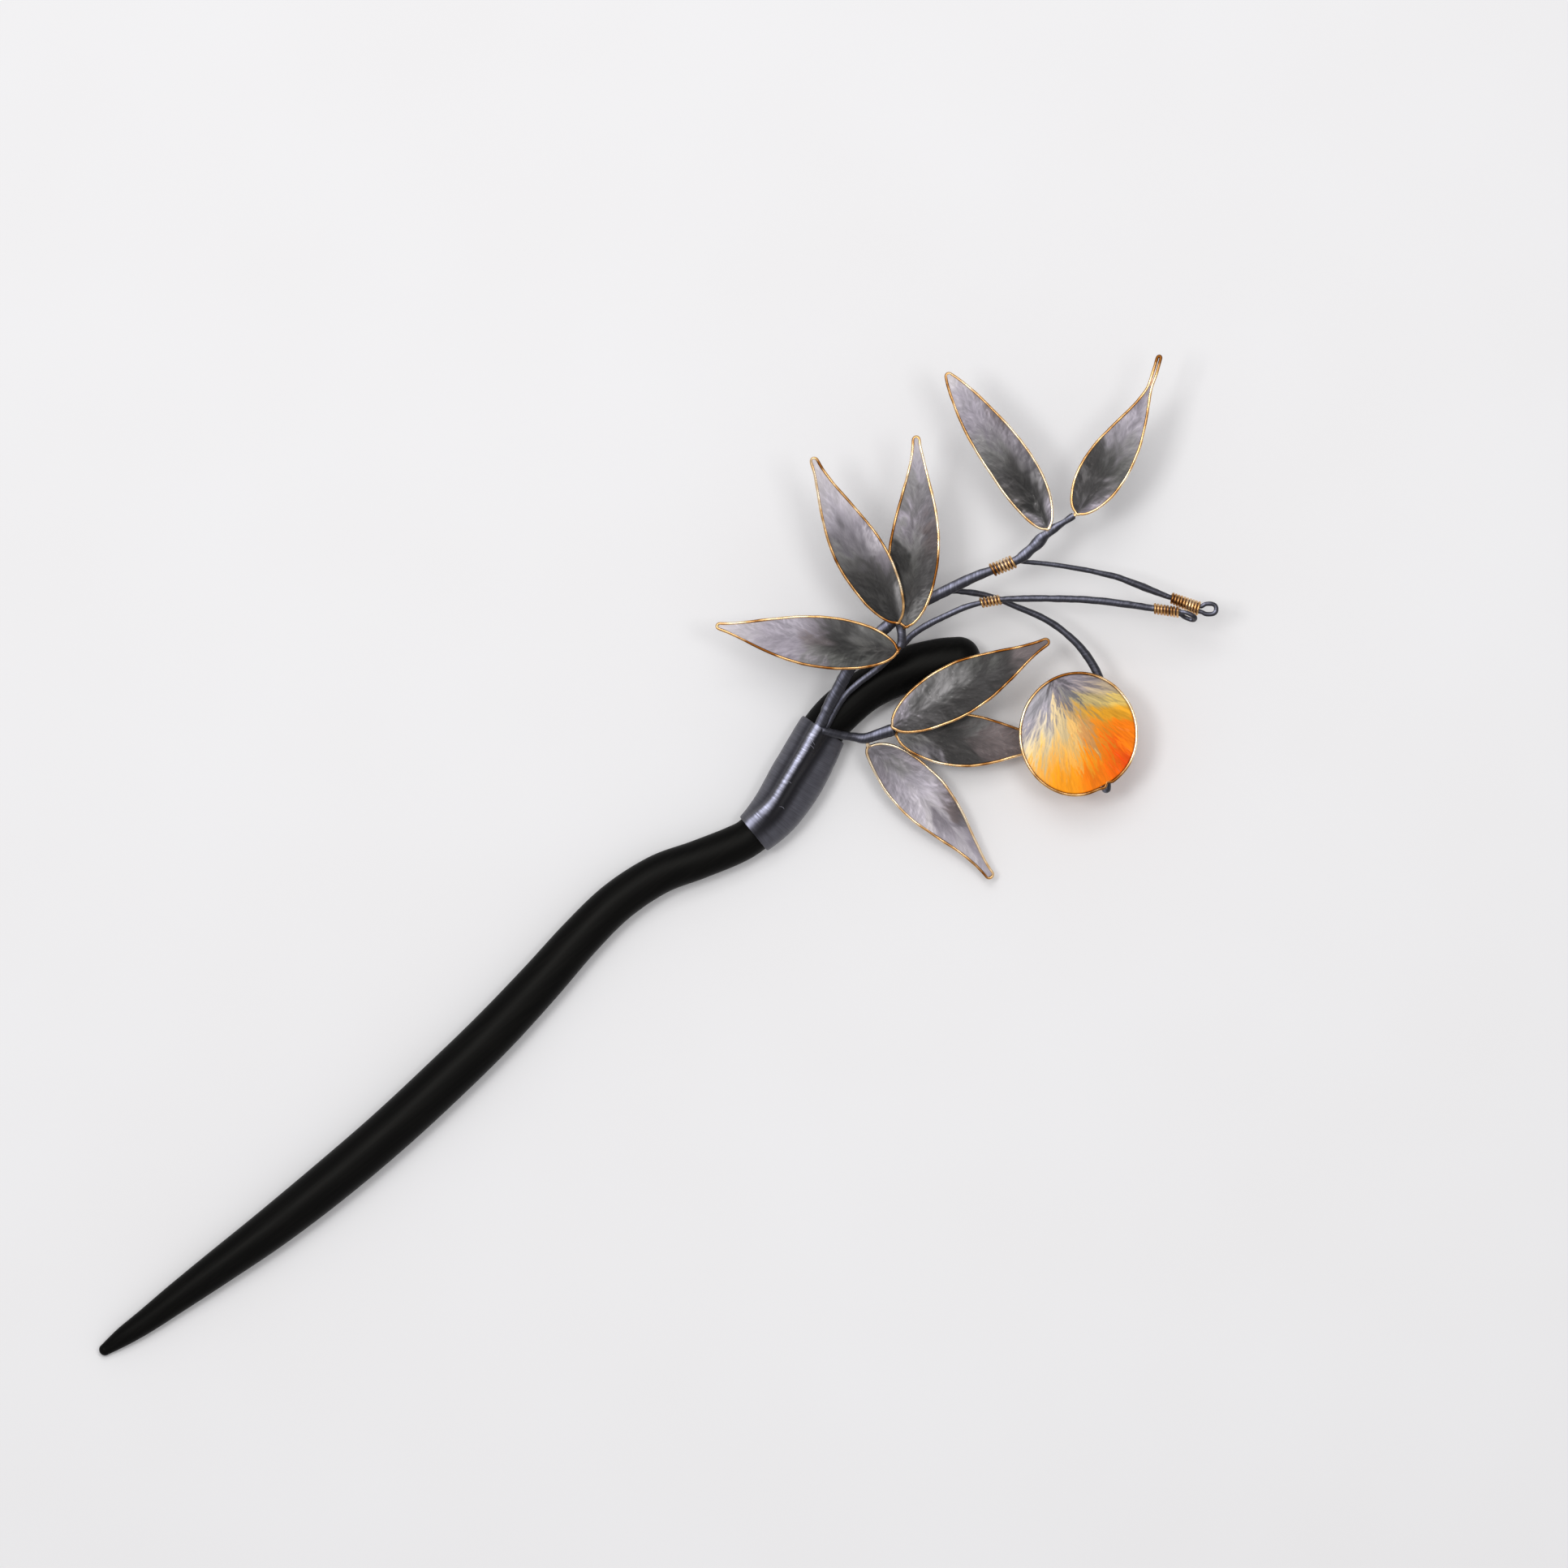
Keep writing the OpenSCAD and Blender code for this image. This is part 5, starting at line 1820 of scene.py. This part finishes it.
    def leaves(self) -> list[Leaf]:
        """Lists the leaves with their shapes and dyes."""
        return [
            Leaf(
                1, (200.9, 8.7, 13.4), (203.6, 37.4, 15.6), held=(200.4, 7.95, 12.6), half=3.5, wide=0.38,
                taper=0.9, bow=-0.5, sway=-0.2, tilt=4, fan=58, nap=0.24, sheen_and_wear=(0.15, 0.6, 0.1, 0.35),
                dust=30,
                zones=dabs(
                    SLATE=[(0.03, 0.6, 0.06, 0.6), (0.38, -0.8, 0.1, 0.4)], MIST=[(0.03, -0.7, 0.07, 0.6),
                    (0.84, 0, 0.09, 1.2)], ASH=[(0.08, 0, 0.07, 0.4), (0.46, 0.6, 0.07, 0.5),
                    (0.48, 0, 0.07, 0.4)], LAVENDER=[(0.12, -0.85, 0.1, 0.35), (0.7, 0.1, 0.09, 0.9)],
                    SOOT=[(0.18, 0.6, 0.09, 0.5, 1.2), (0.36, 0, 0.08, 0.4, 1.5)],
                    INK=[(0.24, 0, 0.13, 0.4, 1.6)], STONE=[(0.24, -0.8, 0.1, 0.4, 1.2),
                    (0.58, 0.3, 0.08, 0.8)], CHARCOAL=[(0.35, 0.7, 0.09, 0.45, 1.3)],
                    HEATHER=[(0.5, -0.75, 0.08, 0.4), (0.61, -0.7, 0.07, 0.4)],
                    MAUVE=[(0.7, -0.97, 0.08, 0.25)], MILK=[(0.98, 0, 0.1, 1.4)],
                ),
            ),
            Leaf(
                2, (206.2, 7.5, 12.7), (231.8, 18.8, 14.6), held=(205.3, 7.5, 12.6), half=3.6, wide=0.29,
                taper=1.5, bow=-1, sway=0.3, tilt=-4, fan=45, nap=0.17, sheen_and_wear=(0.5, 0.5, 0.3, 0.45),
                spread_tip=0.29, shut=0.83, silk_to=0.83,
                zones=dabs(
                    CHARCOAL=[(0.03, 0.5, 0.06, 0.8), (0.14, 0.5, 0.09, 0.7, 1.2),
                    (0.24, -0.1, 0.08, 0.4, 1.2), (0.42, 0.5, 0.07, 0.7)],
                    LAVENDER=[(0.04, -0.7, 0.07, 0.5, 1.2), (0.72, 0.2, 0.12, 1.2)],
                    HEATHER=[(0.14, -0.8, 0.08, 0.4)], SOOT=[(0.28, 0.5, 0.09, 0.6, 1.6)],
                    STONE=[(0.25, -0.8, 0.09, 0.4), (0.46, -0.4, 0.07, 0.6)],
                    MOSS=[(0.34, -0.3, 0.06, 0.5)], MIST=[(0.57, 0, 0.09, 1.2, 1.2)],
                    PEARL=[(0.72, -0.8, 0.08, 0.5)],
                ),
            ),
            Leaf(
                3, (172.8, 11.9, 14.45), (178.3, 40.2, 16.6), held=(172.7, 11.2, 12.9), half=3.9, wide=0.4,
                taper=1.6, bow=0.4, sway=-0.15, tilt=-10, fan=28, nap=0.17, sheen_and_wear=(0.65, 0.25, 0.35, 0.65),
                zones=dabs(
                    INK=[(0.05, 0.3, 0.09, 0.8, 1.3), (0.18, 0.2, 0.1, 0.8, 1.8)],
                    STONE=[(0.07, -0.9, 0.06, 0.35)], CHARCOAL=[(0.2, -0.7, 0.09, 0.4, 1.2),
                    (0.32, -0.1, 0.07, 0.4)], SOOT=[(0.3, 0.5, 0.08, 0.7, 1.4)],
                    HEATHER=[(0.32, -0.75, 0.06, 0.35, 1.3)], ASH=[(0.43, 0.6, 0.07, 0.5, 1.2)],
                    SLATE=[(0.44, 0, 0.07, 0.4), (0.55, 0.3, 0.08, 0.7, 1.2)],
                    PEARL=[(0.47, -0.65, 0.07, 0.4, 1.2), (0.68, -0.7, 0.08, 0.4),
                    (0.82, 0, 0.1, 1.2, 1.1)], LAVENDER=[(0.57, -0.7, 0.07, 0.5)],
                    MIST=[(0.68, 0.2, 0.08, 0.7, 1.2)], MILK=[(1, 0, 0.1, 1.4)],
                ),
            ),
            Leaf(
                4, (173.5, 10.5, 13.9), (193.2, 32.7, 15.2), held=(172.7, 10.3, 12.9), half=3.9, wide=0.37,
                taper=1.6, bow=-0.7, sway=0.1, tilt=-8, fan=66, nap=0.18, sheen_and_wear=(0.5, 0.45, 0.75, 0.1),
                rib=0.08,
                zones=dabs(
                    ASH=[(0.05, 0.6, 0.07, 0.6), (0.05, -0.5, 0.07, 0.7)], SOOT=[(0.18, 0, 0.1, 0.5, 1.3)],
                    INK=[(0.2, 0.7, 0.08, 0.4), (0.33, 0.7, 0.08, 0.5, 1.8)],
                    CHARCOAL=[(0.2, -0.7, 0.09, 0.4), (0.33, -0.6, 0.09, 0.45, 1.3)],
                    MOSS=[(0.34, 0, 0.09, 0.22)], STONE=[(0.45, 0.6, 0.06, 0.5), (0.46, 0, 0.1, 0.25, 1.3),
                    (0.69, 0.2, 0.08, 1)], PLUM=[(0.46, -0.7, 0.09, 0.4)],
                    LAVENDER=[(0.57, 0.6, 0.07, 0.5)], SLATE=[(0.58, -0.6, 0.08, 0.5, 1.2),
                    (0.7, -0.8, 0.08, 0.4)], HEATHER=[(0.6, 0, 0.09, 0.35)], MIST=[(0.83, 0, 0.09, 1.2)],
                    PEARL=[(1, 0, 0.1, 1.4)],
                ),
            ),
            Leaf(
                5, (169.7, 8.3, 13), (150, 29, 12.4), held=(170.6, 8.3, 12.6), half=4, wide=0.39, taper=1.4,
                bow=0.3, sway=-0.1, tilt=3, fan=48, nap=0.165, sheen_and_wear=(0.6, 0.65, 0.6, 0.5), spread_tip=0.42,
                silk_to=1.0,
                zones=dabs(
                    SOOT=[(0.04, 0.4, 0.07, 0.9, 1.2)], MOSS=[(0.05, -0.7, 0.07, 0.5),
                    (0.18, 0.7, 0.08, 0.4, 1.2), (0.33, 0.7, 0.08, 0.4)], INK=[(0.2, 0, 0.09, 0.45, 1.7),
                    (0.33, -0.1, 0.09, 0.5, 1.6)], ASH=[(0.2, -0.7, 0.09, 0.5)],
                    CHARCOAL=[(0.35, -0.8, 0.06, 0.4, 1.2)], HEATHER=[(0.38, 0.97, 0.05, 0.22),
                    (0.45, -0.7, 0.06, 0.5)], STONE=[(0.45, 0.6, 0.06, 0.5)],
                    PLUM=[(0.45, 0, 0.06, 0.35, 1.2)], LAVENDER=[(0.56, 0.3, 0.07, 0.8),
                    (0.69, 0, 0.09, 1, 1.1)], MIST=[(0.57, -0.6, 0.07, 0.5)],
                    PEARL=[(0.83, 0, 0.1, 1.2, 1.1)], MILK=[(1, 0, 0.1, 1.4)],
                ),
            ),
            Leaf(
                6, (161.9, -0.9, 8.4), (189.3, -5.5, 11.6), held=(161.0, -1.1, 7.8), half=4.1, wide=0.41,
                taper=1.6, bow=0.15, sway=0.1, tilt=2, fan=55, nap=0.14, sheen_and_wear=(0.45, 0.75, 0.35, 0.7),
                dust=80,
                zones=dabs(
                    LAVENDER=[(0.05, 0.6, 0.08, 0.6)], CHARCOAL=[(0.06, -0.6, 0.08, 0.6),
                    (0.2, -0.6, 0.09, 0.6), (0.6, -0.3, 0.09, 0.8, 1.6)], STONE=[(0.2, 0.5, 0.1, 0.6),
                    (0.33, 0.6, 0.1, 0.5, 1.2)], ASH=[(0.33, 0, 0.08, 0.3), (0.46, 0.6, 0.08, 0.5)],
                    SOOT=[(0.34, -0.7, 0.1, 0.5, 1.5), (0.48, -0.3, 0.1, 0.6, 1.3),
                    (0.7, 0.2, 0.08, 1, 1.3), (0.71, -0.7, 0.08, 0.4, 1.2)], MOSS=[(0.58, 0.7, 0.07, 0.4)],
                    MAUVE=[(0.82, 0, 0.08, 1.2), (0.97, 0, 0.1, 1.4)],
                ),
            ),
            Leaf(
                7, (161.6, -2.3, 7), (182, -20.3, 3.6), held=(161.0, -1.4, 7.5), half=4.1, wide=0.37,
                taper=2, bow=-0.4, sway=0, tilt=-3, fan=50, nap=0.15, sheen_and_wear=(0.7, 0.6, 0.45, 0.55), dust=80,
                zones=dabs(
                    ASH=[(0.05, 0, 0.08, 1.2), (0.44, 0.6, 0.08, 0.5, 1.2)],
                    SLATE=[(0.16, -0.8, 0.08, 0.4)], SOOT=[(0.18, 0.7, 0.08, 0.5),
                    (0.32, -0.3, 0.09, 0.7, 1.6), (0.45, -0.6, 0.08, 0.5, 1.3)],
                    CHARCOAL=[(0.2, 0, 0.08, 0.4)], INK=[(0.33, 0.7, 0.08, 0.5, 1.3)],
                    PLUM=[(0.5, 0, 0.08, 0.4), (0.6, -0.8, 0.08, 0.4), (0.7, 0.8, 0.08, 0.4)],
                    MAUVE=[(0.6, 0.2, 0.1, 0.9), (0.72, -0.1, 0.1, 0.8), (1, 0, 0.15, 1.4)],
                ),
            ),
            Leaf(
                8, (157.6, -1.1, 5.8), (159.1, -29, 2.4), held=(156.95, -0.15, 6.9), half=3.9, wide=0.39,
                taper=1.9, bow=0.4, sway=-0.15, tilt=3, fan=42, nap=0.145, sheen_and_wear=(0.05, 0.1, 0.1, 0.65),
                spread_base=0.32, spread_tip=0.6, hook=-0.95,
                zones=dabs(
                    SLATE=[(0.05, 0, 0.08, 1.2), (0.69, 0.75, 0.07, 0.4, 1.4)],
                    STONE=[(0.18, 0.2, 0.08, 0.6)], HEATHER=[(0.18, 0.9, 0.07, 0.35),
                    (0.2, -0.7, 0.08, 0.5), (0.45, 0.97, 0.07, 0.25), (0.69, 0, 0.07, 0.5)],
                    MIST=[(0.32, 0, 0.07, 1), (0.44, -0.8, 0.06, 0.4), (0.69, -0.7, 0.07, 0.5, 1.1),
                    (1, 0, 0.08, 1.4, 1.2)], PEARL=[(0.44, 0.1, 0.08, 0.7, 1.1),
                    (0.57, 0.1, 0.07, 0.4, 1.3), (0.82, -0.4, 0.08, 0.7, 1.2)],
                    PLUM=[(0.56, 0.75, 0.07, 0.4, 1.7)], MILK=[(0.57, -0.6, 0.07, 0.5, 1.3)],
                    LAVENDER=[(0.82, 0.6, 0.07, 0.5)],
                ),
            ),
        ]  # fmt: skip

    def build(self) -> None:
        """Builds and dresses every piece of the spray, in order from the stick outwards."""
        colours = ("#222226", "#2c2c31", "#3d3d44")
        thread = ThreadFinish("Silk_thread_wound_stems", *colours, pitch_mm=0.26, lean=0.35, roughness=0.34)
        wound, wire = thread.material(), GiltWireFinish().material()
        stems = self.stems()
        for stem in stems:
            stem.build(wound)
        for binding in self.bindings(stems):
            binding.build(wire)
        floss = FlossFinish("Silk_floss_grey").material()
        for leaf in self.leaves():
            leaf.build_rim(wire)
            leaf.build_silk(floss)
        fruit = Fruit()
        fruit.build_rim(wire)
        orange = FlossFinish(
            "Silk_floss_orange", strand_length_mm=4, contrast=0.1, glint="#fff0c8", glint_share=0.08,
            cross=0.3, specular=0.1, sheen=0.02,
        )  # fmt: skip
        fruit.build_silk(orange.material())


# The studio


@dataclass(frozen=True)
class Softbox:
    """Square diffused lamp: where it hangs over the photograph's frame, its size and its strength."""

    name: str
    right: float
    up: float
    height: float
    size: float
    watts: float


@dataclass
class Studio:
    """Pale table top, soft lamps on both sides and a camera straight above, as the photograph was taken.

    Attributes:
        centre: Middle of the photograph in the stick's frame.
        half_frame_mm: Half of the width that the photograph covers.
        lens: Focal length. A long lens from far above keeps heights from shifting the outline.
        sensor: Width of the camera's sensor.
        world: Strength of the room's even light.
        boxes: Lamps.
    """

    centre: tuple[float, float] = (142.4, 2.8)
    half_frame_mm: float = 125.58
    lens: float = 1000.0
    sensor: float = 36.0
    world: float = 0.49
    boxes: tuple[Softbox, ...] = (
        Softbox("LampLeft", -0.26, 0.08, 0.8, 0.2, 1.5),
        Softbox("LampRight", 0.26, 0.06, 0.8, 0.2, 0.9),
        Softbox("LampTop", -0.05, 0.38, 0.8, 0.45, 1.93),
    )

    def photo_point(self, right: float, up: float, height: float) -> np.ndarray:
        """Places a point given in metres right and up of the photograph's centre."""
        centre = (np.array([*self.centre, 0.0]) - MIDDLE) * MM
        return centre + right * RIGHT + up * np.cross(UP, RIGHT) + height * UP

    def build_camera(self) -> None:
        """Makes the camera straight above, turned so that the photograph's right is its right."""
        data = bpy.data.cameras.new("TopCamera")
        data.lens, data.sensor_width = self.lens, self.sensor
        data.clip_end = 50.0
        camera = bpy.data.objects.new("TopCamera", data)
        distance = self.half_frame_mm * MM * self.lens / (self.sensor / 2)
        camera.location = self.photo_point(0, 0, distance)
        camera.rotation_euler = (0, 0, math.radians(-FACING))
        bpy.context.collection.objects.link(camera)
        bpy.context.scene.camera = camera

    def build_table(self) -> None:
        """Makes the table top."""
        mesh = bpy.data.meshes.new("TableTop")
        mesh.from_pydata([(-3, -3, 0), (3, -3, 0), (3, 3, 0), (-3, 3, 0)], [], [(0, 1, 2, 3)])
        mesh.materials.append(PaperFinish().material())
        table_top = bpy.data.objects.new("TableTop", mesh)
        bpy.context.collection.objects.link(table_top)

    def build_light(self) -> None:
        """Makes the lamps and the even light of the room."""
        for box in self.boxes:
            data = bpy.data.lights.new(box.name, "AREA")
            data.shape, data.size, data.energy = "SQUARE", box.size, box.watts
            lamp = bpy.data.objects.new(box.name, data)
            lamp.location = self.photo_point(box.right, box.up, box.height)
            x, y, z = unit(self.photo_point(0, 0, 0) - self.photo_point(box.right, box.up, box.height))
            lamp.rotation_euler = (math.acos(-z), 0, math.atan2(y, x) - math.pi / 2)
            lamp.visible_camera = False
            bpy.context.collection.objects.link(lamp)
        world = bpy.data.worlds.new("Room")
        world.use_nodes = True
        background = world.node_tree.nodes["Background"]
        background.inputs[0].default_value = rgba("#fefdff")
        background.inputs[1].default_value = self.world
        bpy.context.scene.world = world
        view = bpy.context.scene.view_settings
        view.view_transform, view.look, view.exposure = "Standard", "None", 0.0


def main() -> None:
    logging.basicConfig(level=logging.INFO, format="%(name)s %(message)s")
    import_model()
    studio = Studio()
    studio.build_camera()
    studio.build_table()
    studio.build_light()
    stick = HairStick()
    stick.build(EbonyFinish().material())
    wrap = ThreadWrap(stick)
    colours = ("#45444a", "#4e4e55", "#57575f")
    thread = ThreadFinish("Silk_thread_wound_wrap", *colours, pitch_mm=0.2, lean=0.0, roughness=0.36)
    wrap.build(thread.material())
    Spray(wrap).build()
    bpy.context.view_layer.update()
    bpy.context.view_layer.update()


if __name__ == "__main__":
    main()
